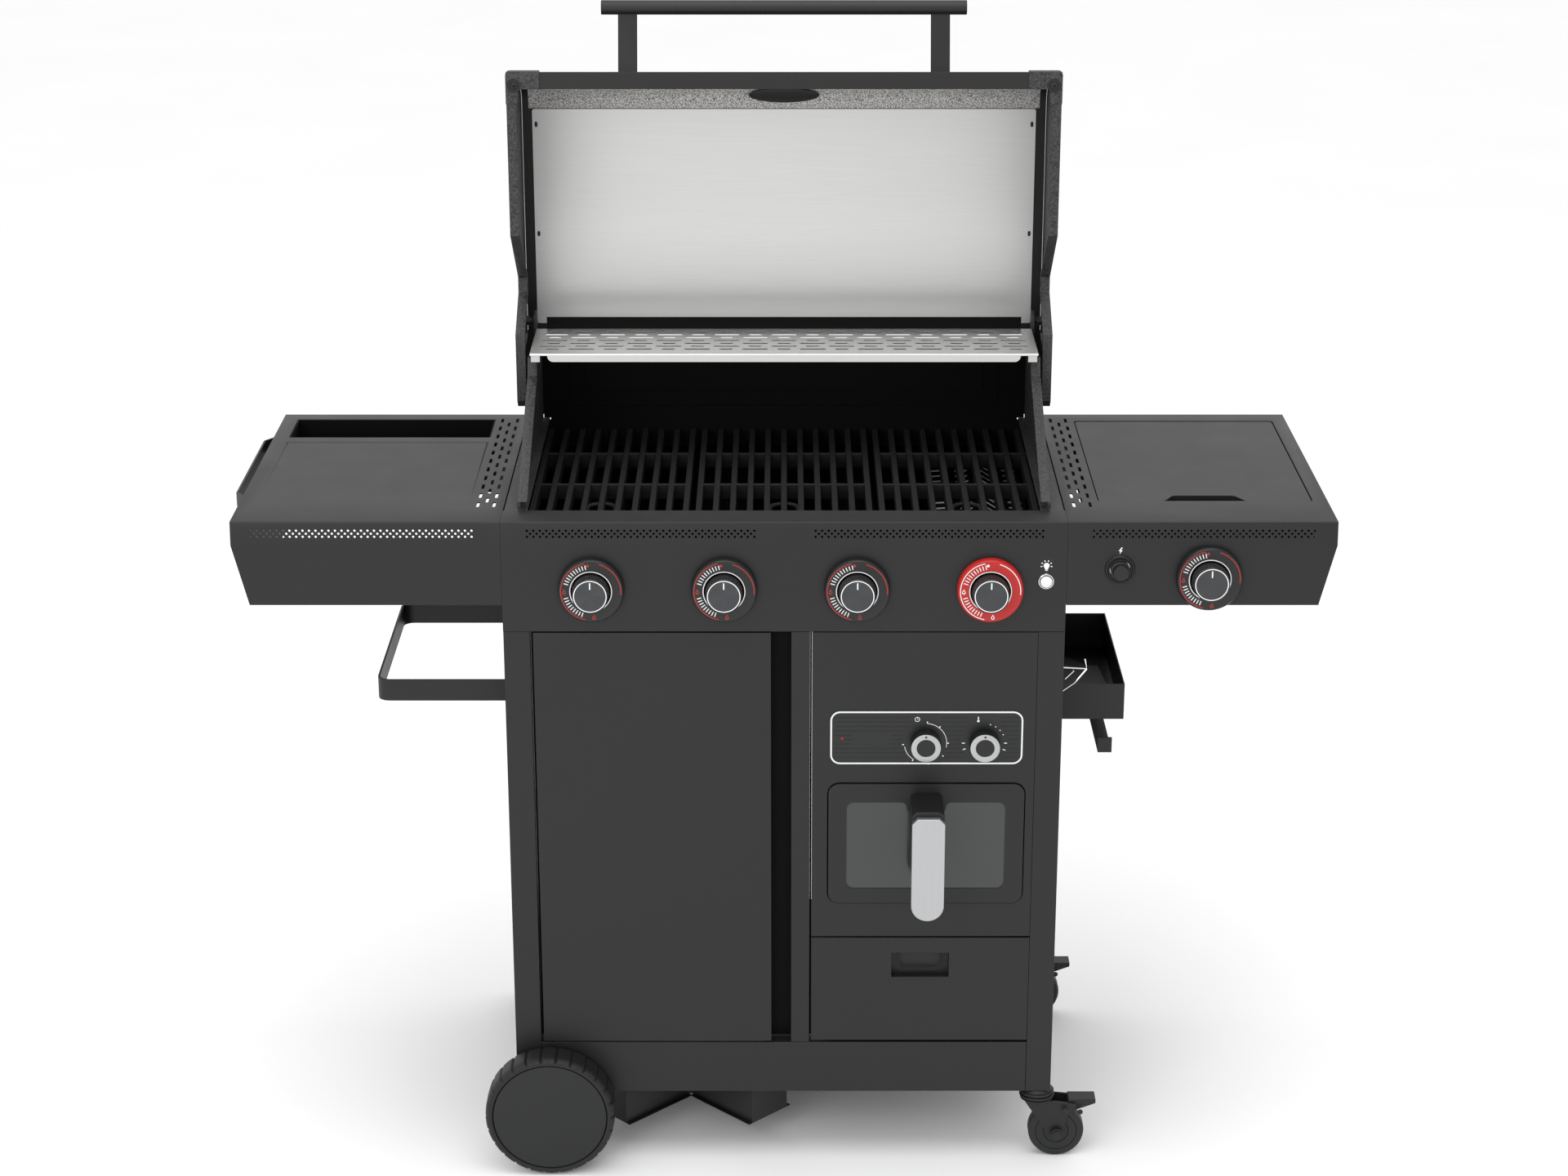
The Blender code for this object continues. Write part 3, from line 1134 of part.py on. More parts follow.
def make_fryer_housing():
    front = LEG_FRONT + DRAWER_FRONT_DEPTH + GAP
    x = grown(FASCIA_X, -HOUSING_SIDE)
    low = FASCIA_LOW + HOUSING_LOW
    bm = open_box(x, (front, front + HOUSING_DEPTH), (low, low + HOUSING_HEIGHT), SHEET, "-Y")
    part("fryer_housing", bm, "aluminised steel")


def make_fryer_drawer():
    """The drawer's front with its pan, the basket in it and the handle."""
    origin = (sum(FRYER_FRONT_X) / 2, 0, FRYER_FRONT_Z[0])
    y = (LEG_FRONT - FRYER_FRONT_PROUD, LEG_FRONT - FRYER_FRONT_PROUD + FRYER_FRONT_THICK)
    outline = rounded_rectangle(FRYER_FRONT_X, FRYER_FRONT_Z, FRYER_FRONT_CORNER)
    drawer = part("fryer_drawer", prism(outline, 1, *y), "black enamel", at=origin)
    pan_x = grown(FRYER_FRONT_X, -PAN_INSET)
    pan_y = (y[1] - SHEET / 2, y[1] + PAN_LENGTH)
    pan_low = FRYER_FRONT_Z[0] + PAN_INSET
    pan_z = (pan_low, pan_low + PAN_HEIGHT)
    join(drawer, open_box(pan_x, pan_y, pan_z, SHEET, "+Z"))
    inset = -(SHEET + BASKET_CLEARANCE)
    basket_y = (y[1] + BASKET_CLEARANCE, pan_y[1] + inset)
    basket_z = (pan_low + SHEET + BASKET_CLEARANCE, pan_z[1] - BASKET_CLEARANCE)
    bm = open_box(grown(pan_x, inset), basket_y, basket_z, SHEET, "+Z")
    part("fryer_basket", bm, "aluminised steel", at=origin)

    front = y[0] - GAP
    top = FRYER_FRONT_Z[1] - HANDLE_TOP_DROP
    grip_low = top - HANDLE_GRIP_HEIGHT
    side = [
        (front, top + HANDLE_RISE), (front, top - HANDLE_ARM),
        (HANDLE_GRIP - HANDLE_REACH, top - HANDLE_ARM), (HANDLE_GRIP - HANDLE_REACH, grip_low),
        (-HANDLE_REACH, grip_low), (-HANDLE_REACH, top - HANDLE_RISE),
        (HANDLE_RISE - HANDLE_REACH, top),
    ]
    x = grown((origin[0], origin[0]), HANDLE_WIDTH / 2)
    part("fryer_handle", prism(side, 0, *x), "black plastic", at=origin)


def make_dials():
    for name, place in dial_places():
        face = LEG_FRONT - DIAL_BACK
        end = LEG_FRONT + DIAL_SHAFT_END
        profile = [
            (0, end), (DIAL_SHAFT, end), (DIAL_SHAFT, face), (DIAL_RADIUS, face),
            (DIAL_RADIUS - DIAL_TAPER, -DIAL_FRONT), (0, -DIAL_FRONT),
        ]
        part(name, turned(profile, 1, place), "chrome", at=place, smooth=True)


def make_lower_drawer():
    """A drawer under the fryer, with a pull pressed into its front."""
    low = BASE_TOP + DRAWER_GAP
    top = low + DRAWER_HEIGHT
    y = (LEG_FRONT, LEG_FRONT + DRAWER_FRONT_DEPTH)
    origin = (sum(FASCIA_X) / 2, 0, low)
    bm = open_box(FASCIA_X, y, (low, top), SHEET, "+Y")
    drawer = part("lower_drawer", bm, "black enamel", at=origin)
    pull_x = grown((origin[0], origin[0]), PULL_WIDTH / 2)
    pull_z = (top - PULL_DROP - PULL_HEIGHT, top - PULL_DROP)
    pocket_y = (y[0] + SHEET / 2, y[0] + SHEET + PULL_DEPTH)
    join(drawer, box(grown(pull_x, SHEET), pocket_y, grown(pull_z, SHEET)))
    cut(drawer, box(pull_x, (y[0] - SHEET, y[0] + PULL_DEPTH), pull_z))
    tray_x = grown(FASCIA_X, -DRAWER_SIDE)
    tray_z = (low + DRAWER_TRAY_RISE, low + DRAWER_TRAY_RISE + DRAWER_TRAY_HEIGHT)
    tray_y = (y[1] - SHEET * 2 / 3, y[1] + DRAWER_LENGTH)
    join(drawer, open_box(tray_x, tray_y, tray_z, SHEET, "+Z"))
    bridge_y = (y[0] + SHEET * 2 / 3, y[1] + SHEET / 3)
    bridge = box(grown(FASCIA_X, -SHEET * 2 / 3), bridge_y, (tray_z[0], tray_z[0] + SHEET))
    join(drawer, bridge)


def main():
    clear_scene()
    grill = bpy.data.objects.new("grill", None)
    grill.location = (0, PANEL_Y, 0)
    bpy.context.scene.collection.objects.link(grill)
    make_legs()
    make_base_shelf()
    make_tank_cradle()
    make_side_panels()
    make_centre_post()
    make_big_wheels()
    make_caster("front")
    make_caster("rear")
    make_control_panel()
    make_bezels()
    make_knobs()
    make_buttons()
    make_tub()
    make_firebox_ends()
    make_burners()
    make_heat_tents()
    make_grates()
    make_warming_rack()
    make_grease_tray()
    make_lid_shell()
    make_lid_ends()
    make_lid_handle()
    make_left_shelf()
    make_right_shelf()
    make_side_burner()
    make_bag_holder()
    make_side_caddy()
    make_door()
    make_fryer_fascia()
    make_fryer_housing()
    make_fryer_drawer()
    make_dials()
    make_lower_drawer()
    bpy.context.view_layer.update()


main()
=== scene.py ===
"""Finishes and fine pieces of a gas barbecue grill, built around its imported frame.

The file is laid out as a Blender add-on and is run as a script. Lengths are in metres, in the
frame's own coordinates: X to the right, Y to the back and Z up.
"""

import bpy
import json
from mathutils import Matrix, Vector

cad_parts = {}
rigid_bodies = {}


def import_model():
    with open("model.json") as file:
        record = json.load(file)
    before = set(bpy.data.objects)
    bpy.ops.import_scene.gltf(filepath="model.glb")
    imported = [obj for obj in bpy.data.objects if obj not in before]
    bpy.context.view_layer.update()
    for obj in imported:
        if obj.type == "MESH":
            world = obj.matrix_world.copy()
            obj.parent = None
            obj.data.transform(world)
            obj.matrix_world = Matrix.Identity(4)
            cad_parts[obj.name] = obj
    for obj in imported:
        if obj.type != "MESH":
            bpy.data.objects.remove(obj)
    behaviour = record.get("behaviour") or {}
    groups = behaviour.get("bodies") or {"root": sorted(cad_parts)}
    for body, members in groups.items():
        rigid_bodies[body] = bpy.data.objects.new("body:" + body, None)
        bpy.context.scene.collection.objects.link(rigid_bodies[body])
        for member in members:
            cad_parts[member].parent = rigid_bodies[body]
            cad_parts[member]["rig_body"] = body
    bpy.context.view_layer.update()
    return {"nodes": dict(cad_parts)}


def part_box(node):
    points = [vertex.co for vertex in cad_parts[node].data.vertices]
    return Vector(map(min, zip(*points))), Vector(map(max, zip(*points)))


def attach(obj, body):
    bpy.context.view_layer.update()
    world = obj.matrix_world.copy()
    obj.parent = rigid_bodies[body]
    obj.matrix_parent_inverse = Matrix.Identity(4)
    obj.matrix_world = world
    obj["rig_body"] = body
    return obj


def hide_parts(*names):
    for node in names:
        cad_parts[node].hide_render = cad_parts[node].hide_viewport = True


bl_info = {
    "name": "Gas barbecue grill finishes",
    "version": (1, 0, 0),
    "blender": (4, 5, 0),
    "location": "3D View > Sidebar > Grill",
    "description": "Sheet metal, knobs, wheels, fryer and stage of a gas barbecue grill",
    "category": "Object",
}

import json
import math

import bmesh
import bpy
import numpy as np
from bpy.props import FloatProperty, FloatVectorProperty, IntProperty, PointerProperty
from bpy.types import Operator, Panel, PropertyGroup
from mathutils import Matrix, Vector
from mathutils.geometry import delaunay_2d_cdt

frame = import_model()

MM = 0.001
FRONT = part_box("control_panel")[0].y
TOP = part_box("control_panel")[1].z
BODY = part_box("control_panel")[1].x
PANEL_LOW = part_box("leg_front_right")[1].z + 0.0003
SHEET = 1.5 * MM
STRIP = 31 * MM  # height of the sloped strip under the top edge
STRIP_SLOPE = 3 * MM
BEND = 2 * MM  # radius of a bend in sheet steel
HOLE_ROWS = 4 * MM  # from one row of a strip's holes to the next
PANEL_HOLES = ((-0.3284, -0.0346), (0.0404, 0.3332))  # where the panel's two strips start and end
SHELF_HOLES = (0.3958, 0.6813)  # the same for a shelf, counted out from the middle
SLOT_COLUMNS = ((0.397, 11), (0.3865, 10), (0.376, 11))  # place from the middle, and how many
LID_PIN = 5.5 * MM  # how far the side burner lid's pin reaches past each side of the lid
FACING = Matrix(((1, 0, 0, 0), (0, 0, -1, 0), (0, 1, 0, 0), (0, 0, 0, 1)))


def linear(code):
    """An sRGB hex colour as linear RGB."""
    channels = [int(code[i : i + 2], 16) / 255 for i in (1, 3, 5)]
    return tuple(c / 12.92 if c <= 0.04045 else ((c + 0.055) / 1.055) ** 2.4 for c in channels)


# ---- Settings ----


class GrillSizes(PropertyGroup):
    hole_pitch: FloatProperty(
        name="Hole pitch", description="Distance between the strip's holes", default=8.3 * MM,
        unit="LENGTH",
    )
    hole_width: FloatProperty(
        name="Hole width", description="Width of the strip's holes", default=3.2 * MM, unit="LENGTH"
    )
    tick_count: IntProperty(
        name="Ticks", description="Ticks from off to low on a bezel", default=23, min=3
    )
    tread_count: IntProperty(
        name="Tread blocks", description="Blocks round a big wheel", default=26, min=8
    )


class GrillColours(PropertyGroup):
    coat: FloatVectorProperty(
        name="Powder coat", description="Colour of the coated sheet steel", subtype="COLOR",
        default=linear("#1D1D1E"),
    )
    mark: FloatVectorProperty(
        name="Print", description="Colour of the printed ticks", subtype="COLOR",
        default=linear("#E8E8E8"),
    )
    accent: FloatVectorProperty(
        name="Red", description="Colour of the red ring and arcs", subtype="COLOR",
        default=linear("#B0211E"),
    )


# ---- Materials ----


def add_node(tree, kind, settings=None, inputs=None):
    """A node with its settings. An input is a value, or the socket that feeds it."""
    node = tree.nodes.new(kind)
    for name, value in (settings or {}).items():
        setattr(node, name, value)
    for name, value in (inputs or {}).items():
        if isinstance(value, bpy.types.NodeSocket):
            tree.links.new(value, node.inputs[name])
        else:
            node.inputs[name].default_value = value
    return node


def start(name, colour, roughness, metallic=0.0, **more):
    """A material, its node tree and its shader, with the shader's plain values set."""
    material = bpy.data.materials.new(name)
    material.use_nodes = True
    tree = material.node_tree
    shader = tree.nodes["Principled BSDF"]
    shader.inputs["Base Color"].default_value = (*colour, 1)
    shader.inputs["Roughness"].default_value = roughness
    shader.inputs["Metallic"].default_value = metallic
    for key, value in more.items():
        shader.inputs[key.replace("_", " ")].default_value = value
    return material, tree, shader


def vary(tree, shader, colour, texture, light=1.25, dark=0.8, rough=(0.4, 0.5)):
    """Let a texture move the colour and the roughness a little round their middle values."""
    shades = [tuple(min(1.0, c * k) for c in colour) for k in (dark, light)]
    mix = add_node(
        tree, "ShaderNodeMix", {"data_type": "RGBA"},
        {"Factor": texture, 6: (*shades[0], 1), 7: (*shades[1], 1)},
    )
    spread = add_node(
        tree, "ShaderNodeMapRange", {},
        {"Value": texture, "To Min": rough[0], "To Max": rough[1]},
    )
    tree.links.new(mix.outputs[2], shader.inputs["Base Color"])
    tree.links.new(spread.outputs["Result"], shader.inputs["Roughness"])


def bump(tree, shader, height, distance, strength=1.0):
    node = add_node(
        tree, "ShaderNodeBump", {}, {"Height": height, "Distance": distance, "Strength": strength}
    )
    tree.links.new(node.outputs["Normal"], shader.inputs["Normal"])


def grain(tree, size, detail=3.0, stretch=(1, 1, 1)):
    """Noise in the object's own coordinates, with its features about a size across."""
    where = add_node(tree, "ShaderNodeTexCoord")
    scaled = add_node(
        tree, "ShaderNodeMapping", {}, {"Vector": where.outputs["Object"], "Scale": stretch}
    )
    return add_node(
        tree, "ShaderNodeTexNoise", {},
        {"Vector": scaled.outputs["Vector"], "Scale": 1 / size, "Detail": detail},
    )


def powder_coat(name, colour, rough=(0.40, 0.50), gloss=0.35):
    """Baked powder on steel: satin, with the faint pebbled skin of melted grains. The real
    grains are 0.3 mm, and are drawn coarser so that they show."""
    material, tree, shader = start(name, colour, rough[0], Specular_IOR_Level=gloss)
    skin = grain(tree, 0.9 * MM, 2.0)
    cloud = grain(tree, 60 * MM, 2.0)
    vary(tree, shader, colour, cloud.outputs["Fac"], 1.1, 0.9, rough)
    bump(tree, shader, skin.outputs["Fac"], 0.04 * MM, 0.6)
    return material


def speckled_enamel(name, colour):
    """Vitreous enamel inside the lid: a glassy grey coat crowded with pale and dark specks."""
    material, tree, shader = start(name, colour, 0.35)
    specks = grain(tree, 1.8 * MM, 4.0)
    spread = add_node(
        tree, "ShaderNodeMapRange", {},
        {"Value": specks.outputs["Fac"], "From Min": 0.38, "From Max": 0.62},
    )
    vary(tree, shader, colour, spread.outputs["Result"], 1.9, 0.3, (0.25, 0.5))
    bump(tree, shader, specks.outputs["Fac"], 0.15 * MM, 0.5)
    return material


def textured_coat(name, colour):
    """Texture powder on cast aluminium: coarse grit that breaks the light into specks."""
    material, tree, shader = start(name, colour, 0.6, Specular_IOR_Level=0.45)
    grit = grain(tree, 2.6 * MM, 4.0)
    spread = add_node(
        tree, "ShaderNodeMapRange", {},
        {"Value": grit.outputs["Fac"], "From Min": 0.36, "From Max": 0.64},
    )
    vary(tree, shader, colour, spread.outputs["Result"], 2.4, 0.2, (0.4, 0.7))
    bump(tree, shader, grit.outputs["Fac"], 0.35 * MM, 0.8)
    return material


def cast_iron(name, colour):
    """Sand-cast iron with a baked oil finish: dull black, with a pitted skin."""
    material, tree, shader = start(name, colour, 0.6, Specular_IOR_Level=0.3)
    pits = grain(tree, 2.2 * MM, 5.0)
    vary(tree, shader, colour, pits.outputs["Fac"], 1.6, 0.5, (0.45, 0.75))
    bump(tree, shader, pits.outputs["Fac"], 0.3 * MM, 0.7)
    return material


def brushed_steel(name, colour, rough=(0.26, 0.4), along="X", metallic=1.0):
    """Stainless sheet brushed one way: the scratches run along one axis. They are 0.05 mm wide,
    and are drawn at 0.8 mm so that they show."""
    material, tree, shader = start(name, colour, rough[0], metallic)
    stretch = tuple(0.012 if axis == along else 1.0 for axis in "XYZ")
    scratches = grain(tree, 0.8 * MM, 2.0, stretch)
    vary(tree, shader, colour, scratches.outputs["Fac"], 1.06, 0.92, rough)
    bump(tree, shader, scratches.outputs["Fac"], 0.02 * MM, 0.5)
    return material


def moulded_plastic(name, colour, rough=(0.35, 0.5)):
    """Moulded nylon or ABS: a fine spark-eroded grain."""
    material, tree, shader = start(name, colour, rough[0], Specular_IOR_Level=0.4)
    skin = grain(tree, 0.7 * MM, 2.0)
    vary(tree, shader, colour, skin.outputs["Fac"], 1.15, 0.85, rough)
    bump(tree, shader, skin.outputs["Fac"], 0.03 * MM, 0.6)
    return material


def printed(name, colour):
    """Screen-printed ink: an even, slightly matt film."""
    material, tree, shader = start(name, colour, 0.5)
    film = grain(tree, 1.2 * MM, 2.0)
    vary(tree, shader, colour, film.outputs["Fac"], 1.04, 0.94, (0.45, 0.6))
    return material


def chrome_plate(name, colour):
    """Chromium on polished steel: a hard bright mirror with the faintest haze."""
    material, tree, shader = start(name, colour, 0.12, 1.0)
    haze = grain(tree, 8 * MM, 2.0)
    vary(tree, shader, colour, haze.outputs["Fac"], 1.03, 0.94, (0.08, 0.18))
    return material


def spun_face(name, colour):
    """Aluminium turned on a lathe and anodised dark: fine rings that fan the light out."""
    material, tree, shader = start(name, colour, 0.32, 0.95, Anisotropic=0.8)
    tangent = add_node(tree, "ShaderNodeTangent", {"direction_type": "RADIAL", "axis": "Z"})
    tree.links.new(tangent.outputs["Tangent"], shader.inputs["Tangent"])
    where = add_node(tree, "ShaderNodeTexCoord")
    rings = add_node(
        tree, "ShaderNodeTexWave", {"wave_type": "RINGS", "rings_direction": "Z"},
        {"Vector": where.outputs["Object"], "Scale": 0.314 / (1.2 * MM), "Distortion": 0.0},
    )
    vary(tree, shader, colour, rings.outputs["Fac"], 1.2, 0.85, (0.28, 0.36))
    return material


def smoked_glass(name, colour):
    """Toughened glass printed black behind: a smooth dark pane with a clear surface gloss."""
    material, tree, shader = start(name, colour, 0.12, Coat_Weight=0.3)
    haze = grain(tree, 40 * MM, 2.0)
    vary(tree, shader, colour, haze.outputs["Fac"], 1.05, 0.95, (0.10, 0.16))
    return material


def chosen(name):
    """A colour from the settings."""
    return tuple(getattr(bpy.context.scene.grill_colours, name))


FINISH_MAKERS = {
    "coat": lambda: powder_coat("satin black powder coat", chosen("coat")),
    # A real black coat on the tub, pans and ribs; also painted shade in gaps, tent holes and screw
    # recesses, and a painted dark reflection on the warming rack's upstand.
    "coat_dark_and_painted_shade": lambda: powder_coat("matt black enamel", linear("#040404"), (0.6, 0.7), 0.12),
    "casting": lambda: textured_coat("textured black powder coat", linear("#282829")),
    "iron": lambda: cast_iron("seasoned cast iron", linear("#101010")),
    "enamel": lambda: speckled_enamel("speckled grey enamel", linear("#A8A6A4")),
    "stainless": lambda: brushed_steel(
        "brushed stainless steel", linear("#D0D0CE"), (0.28, 0.42), "X", 0.75
    ),
    "liner": lambda: brushed_steel(
        "brushed lid liner", linear("#DADAD9"), (0.36, 0.48), "X", 0.5
    ),
    "aluminised": lambda: brushed_steel("aluminised steel", linear("#8E8E8B"), (0.4, 0.55)),
    "plastic": lambda: moulded_plastic("black moulded nylon", linear("#181819")),
    "bezel": lambda: moulded_plastic("black moulded bezel", linear("#1B1C1C"), (0.3, 0.42)),
    "bezel_red": lambda: moulded_plastic("red moulded bezel", chosen("accent"), (0.3, 0.42)),
    "tyre": lambda: moulded_plastic("black moulded tyre", linear("#171718"), (0.5, 0.65)),
    "hub": lambda: moulded_plastic("charcoal moulded wheel", linear("#1B1C1C"), (0.45, 0.58)),
    "ink": lambda: printed("white print", chosen("mark")),
    "ink_red": lambda: printed("red print", chosen("accent")),
    "chrome": lambda: chrome_plate("chrome plate", linear("#DADBDC")),
    "satin": lambda: brushed_steel(
        "satin aluminium", linear("#B4B5B6"), (0.32, 0.44), "Y", 0.85
    ),
    "spun": lambda: spun_face("spun anodised aluminium", linear("#494B4D")),
    "glass": lambda: smoked_glass("smoked oven glass", linear("#2B2E2D")),
    # A real lamp lens on the light button; also painted light in the right-hand tent's slots.
    "lamp": lambda: printed("white lamp lens", linear("#E2E3E4")),
    "lamp_red": lambda: printed("red lamp lens", linear("#A02422")),
    "burner": lambda: brushed_steel("heat-darkened burner", linear("#2A2826"), (0.5, 0.65)),
    "tent": lambda: brushed_steel("heat-darkened tent", linear("#242322"), (0.45, 0.6)),
}
FINISHES = {}


def finish(key):
    if key not in FINISHES:
        FINISHES[key] = FINISH_MAKERS[key]()
    return FINISHES[key]


# ---- Making pieces ----


def piece(name, bm, finishes, body, at=None, stands_for=(), angle=32, bevel=0.0):
    """A mesh piece that rides on a body. Its finishes are in the order of its faces' indices."""
    bmesh.ops.recalc_face_normals(bm, faces=bm.faces)
    mesh = bpy.data.meshes.new(name)
    bm.to_mesh(mesh)
    bm.free()
    for key in finishes:
        mesh.materials.append(finish(key))
    mesh.shade_smooth()
    mesh.set_sharp_from_angle(angle=math.radians(angle))
    obj = bpy.data.objects.new(name, mesh)
    bpy.context.scene.collection.objects.link(obj)
    if at is not None:
        obj.matrix_world = at
    if bevel:
        modifier = obj.modifiers.new("edges", "BEVEL")
        modifier.width = bevel
        modifier.segments = 2
        modifier.limit_method = "ANGLE"
        modifier.angle_limit = math.radians(30)
        modifier.harden_normals = True
    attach(obj, body)
    if stands_for:
        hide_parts(*stands_for)
    return obj


def softened(node, key, radius=0.6 * MM):
    """A copy of a CAD node's own shape with its sharp edges eased, in a finish."""
    source = frame["nodes"][node]
    bm = bmesh.new()
    bm.from_mesh(source.data)
    bmesh.ops.remove_doubles(bm, verts=bm.verts, dist=1e-5)
    bmesh.ops.dissolve_limit(
        bm, angle_limit=math.radians(1), verts=bm.verts, edges=bm.edges, delimit={"NORMAL"}
    )
    body = source["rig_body"]
    return piece(f"{node}_finished", bm, [key], body, stands_for=[node], bevel=radius)


def add(target, source, at=None, shade=None):
    """Put one bmesh into another, moved into place and in one of the piece's finishes."""
    if at is not None:
        bmesh.ops.transform(source, matrix=at, verts=source.verts)
    if shade is not None:
        for face in source.faces:
            face.material_index = shade
    mesh = bpy.data.meshes.new("part")
    source.to_mesh(mesh)
    source.free()
    target.from_mesh(mesh)
    bpy.data.meshes.remove(mesh)
    return target


def facing(x, z, y=0.0):
    """A place on the front, with local X to the right, Y up and Z out towards the front."""
    return Matrix.Translation((x, FRONT + y, z)) @ FACING


def prism(outline, low, high):
    bm = bmesh.new()
    face = bm.faces.new([bm.verts.new((a, b, low)) for a, b in outline])
    grown = bmesh.ops.extrude_face_region(bm, geom=[face])["geom"]
    moved = [v for v in grown if isinstance(v, bmesh.types.BMVert)]
    bmesh.ops.translate(bm, verts=moved, vec=(0, 0, high - low))
    return bm


def block(x, y, z):
    return prism([(x[0], y[0]), (x[1], y[0]), (x[1], y[1]), (x[0], y[1])], *z)


def turned(profile, steps=48, shades=None, pull=None):
    """A profile of (radius, height) turned about Z. pull(point, step) takes some radius away."""
    bm = bmesh.new()
    rings = []
    for step in range(steps):
        turn = math.tau * step / steps
        ring = []
        for point, (radius, height) in enumerate(profile):
            if pull and radius:
                radius -= pull(point, step)
            ring.append(bm.verts.new((radius * math.cos(turn), radius * math.sin(turn), height)))
        rings.append(ring)
    for here, there in zip(rings, rings[1:] + rings[:1]):
        for point in range(len(profile) - 1):
            face = bm.faces.new((here[point], there[point], there[point + 1], here[point + 1]))
            face.material_index = shades[point] if shades else 0
    bmesh.ops.remove_doubles(bm, verts=bm.verts, dist=1e-7)
    return bm


def arc(centre, radius, start_angle, end_angle, steps=6):
    turns = [
        math.radians(start_angle + (end_angle - start_angle) * i / steps) for i in range(steps + 1)
    ]
    return [(centre[0] + radius * math.cos(t), centre[1] + radius * math.sin(t)) for t in turns]


def rounded(x, y, radius, steps=6):
    """The outline of a rectangle with round corners."""
    return (
        arc((x[1] - radius, y[0] + radius), radius, -90, 0, steps)
        + arc((x[1] - radius, y[1] - radius), radius, 0, 90, steps)
        + arc((x[0] + radius, y[1] - radius), radius, 90, 180, steps)
        + arc((x[0] + radius, y[0] + radius), radius, 180, 270, steps)
    )


def sector(inner, outer, start_angle, end_angle, steps=24):
    """The outline of a part of a ring."""
    return arc((0, 0), outer, start_angle, end_angle, steps) + arc(
        (0, 0), inner, end_angle, start_angle, steps
    )


def slot_outline(centre, length, width, upright=False, steps=3):
    """The outline of a round-ended slot."""
    half = (length - width) / 2
    points = arc((half, 0), width / 2, -90, 90, steps) + arc((-half, 0), width / 2, 90, 270, steps)
    if upright:
        points = [(-b, a) for a, b in points]
    return [(centre[0] + a, centre[1] + b) for a, b in points]


def circle(centre, radius, steps=12):
    return arc(centre, radius, 0, 360, steps)[:-1]


def tube(points, radius, sides=10, closed=False):
    """A round bar that follows points."""
    points = [Vector(p) for p in points]
    count = len(points)
    bm = bmesh.new()
    rings = []
    side = None
    for i, point in enumerate(points):
        before = points[i - 1] if i or closed else point
        after = points[(i + 1) % count] if i < count - 1 or closed else point
        run = (after - before).normalized()
        if side is None:
            side = run.orthogonal().normalized()
        side = (side - run * side.dot(run)).normalized()
        other = run.cross(side)
        turns = [math.tau * k / sides for k in range(sides)]
        rings.append([
            bm.verts.new(point + radius * (side * math.cos(t) + other * math.sin(t))) for t in turns
        ])
    pairs = list(zip(rings, rings[1:])) + ([(rings[-1], rings[0])] if closed else [])
    for here, there in pairs:
        for k in range(sides):
            n = (k + 1) % sides
            bm.faces.new((here[k], here[n], there[n], there[k]))
    if not closed:
        bm.faces.new(rings[0])
        bm.faces.new(rings[-1])
    return bm


# ---- Sheet metal, cut in the flat and bent ----


def within(loops, centres):
    """Whether each centre lies inside an odd number of the loops."""
    x, y = centres.T
    odd = np.zeros(len(centres), bool)
    for loop in loops:
        ends = loop[1:] + loop[:1]
        for (ax, ay), (bx, by) in zip(loop, ends):
            if ay == by:
                continue
            crosses = (ay > y) != (by > y)
            odd ^= crosses & (x < (bx - ax) * (y - ay) / (by - ay) + ax)
    return odd


def cut_sheet(loops, folds, place, thickness, creases=(), shade=None):
    """A sheet cut to loops of (across, along), split at the folds, and bent by place(across,
    along, depth), with depth counted in from its outer face."""
    points, edges = [], []
    for loop in loops:
        first = len(points)
        points += [Vector(p) for p in loop]
        edges += [(first + i, first + (i + 1) % len(loop)) for i in range(len(loop))]
    for line in creases:
        first = len(points)
        points += [Vector(p) for p in line]
        edges += [(first + i, first + i + 1) for i in range(len(line) - 1)]
    across = [p[0] for p in loops[0]]
    for along in folds:
        edges.append((len(points), len(points) + 1))
        points += [Vector((min(across) - 0.01, along)), Vector((max(across) + 0.01, along))]
    flat, _, faces, *_ = delaunay_2d_cdt(points, edges, [], 0, 1e-6)
    flat = [(p.x, p.y) for p in flat]
    centres = np.array([np.mean([flat[i] for i in face], axis=0) for face in faces])
    kept = [list(face) for face, inside in zip(faces, within(loops, centres)) if inside]
    used = sorted({i for face in kept for i in face})
    bm = bmesh.new()
    outer = {i: bm.verts.new(place(*flat[i], 0.0)) for i in used}
    inner = {i: bm.verts.new(place(*flat[i], thickness)) for i in used}
    sides = {}
    for face in kept:
        middle = np.mean([flat[i] for i in face], axis=0)
        for skin in (outer, inner):
            made = bm.faces.new([skin[i] for i in face])
            made.material_index = shade(*middle) if shade else 0
        for a, b in zip(face, face[1:] + face[:1]):
            sides[a, b] = middle
    for (a, b), middle in sides.items():
        if (b, a) not in sides:
            made = bm.faces.new((outer[a], outer[b], inner[b], inner[a]))
            made.material_index = shade(*middle) if shade else 0
    return bm


def bent_path(corners, radius, steps=3):
    """A line through corners, each rounded to one radius or to its own."""
    corners = [Vector(c) for c in corners]
    radii = radius if isinstance(radius, list) else [radius] * (len(corners) - 2)
    points = [corners[0]]
    for before, corner, after, radius in zip(corners, corners[1:], corners[2:], radii):
        back = (before - corner).normalized()
        on = (after - corner).normalized()
        half = back.angle(on) / 2
        middle = corner + (back + on).normalized() * radius / math.sin(half)
        first = corner + back * radius / math.tan(half) - middle
        last = corner + on * radius / math.tan(half) - middle
        for i in range(steps + 1):
            points.append(middle + first.lerp(last, i / steps).normalized() * radius)
    return points + [corners[-1]]


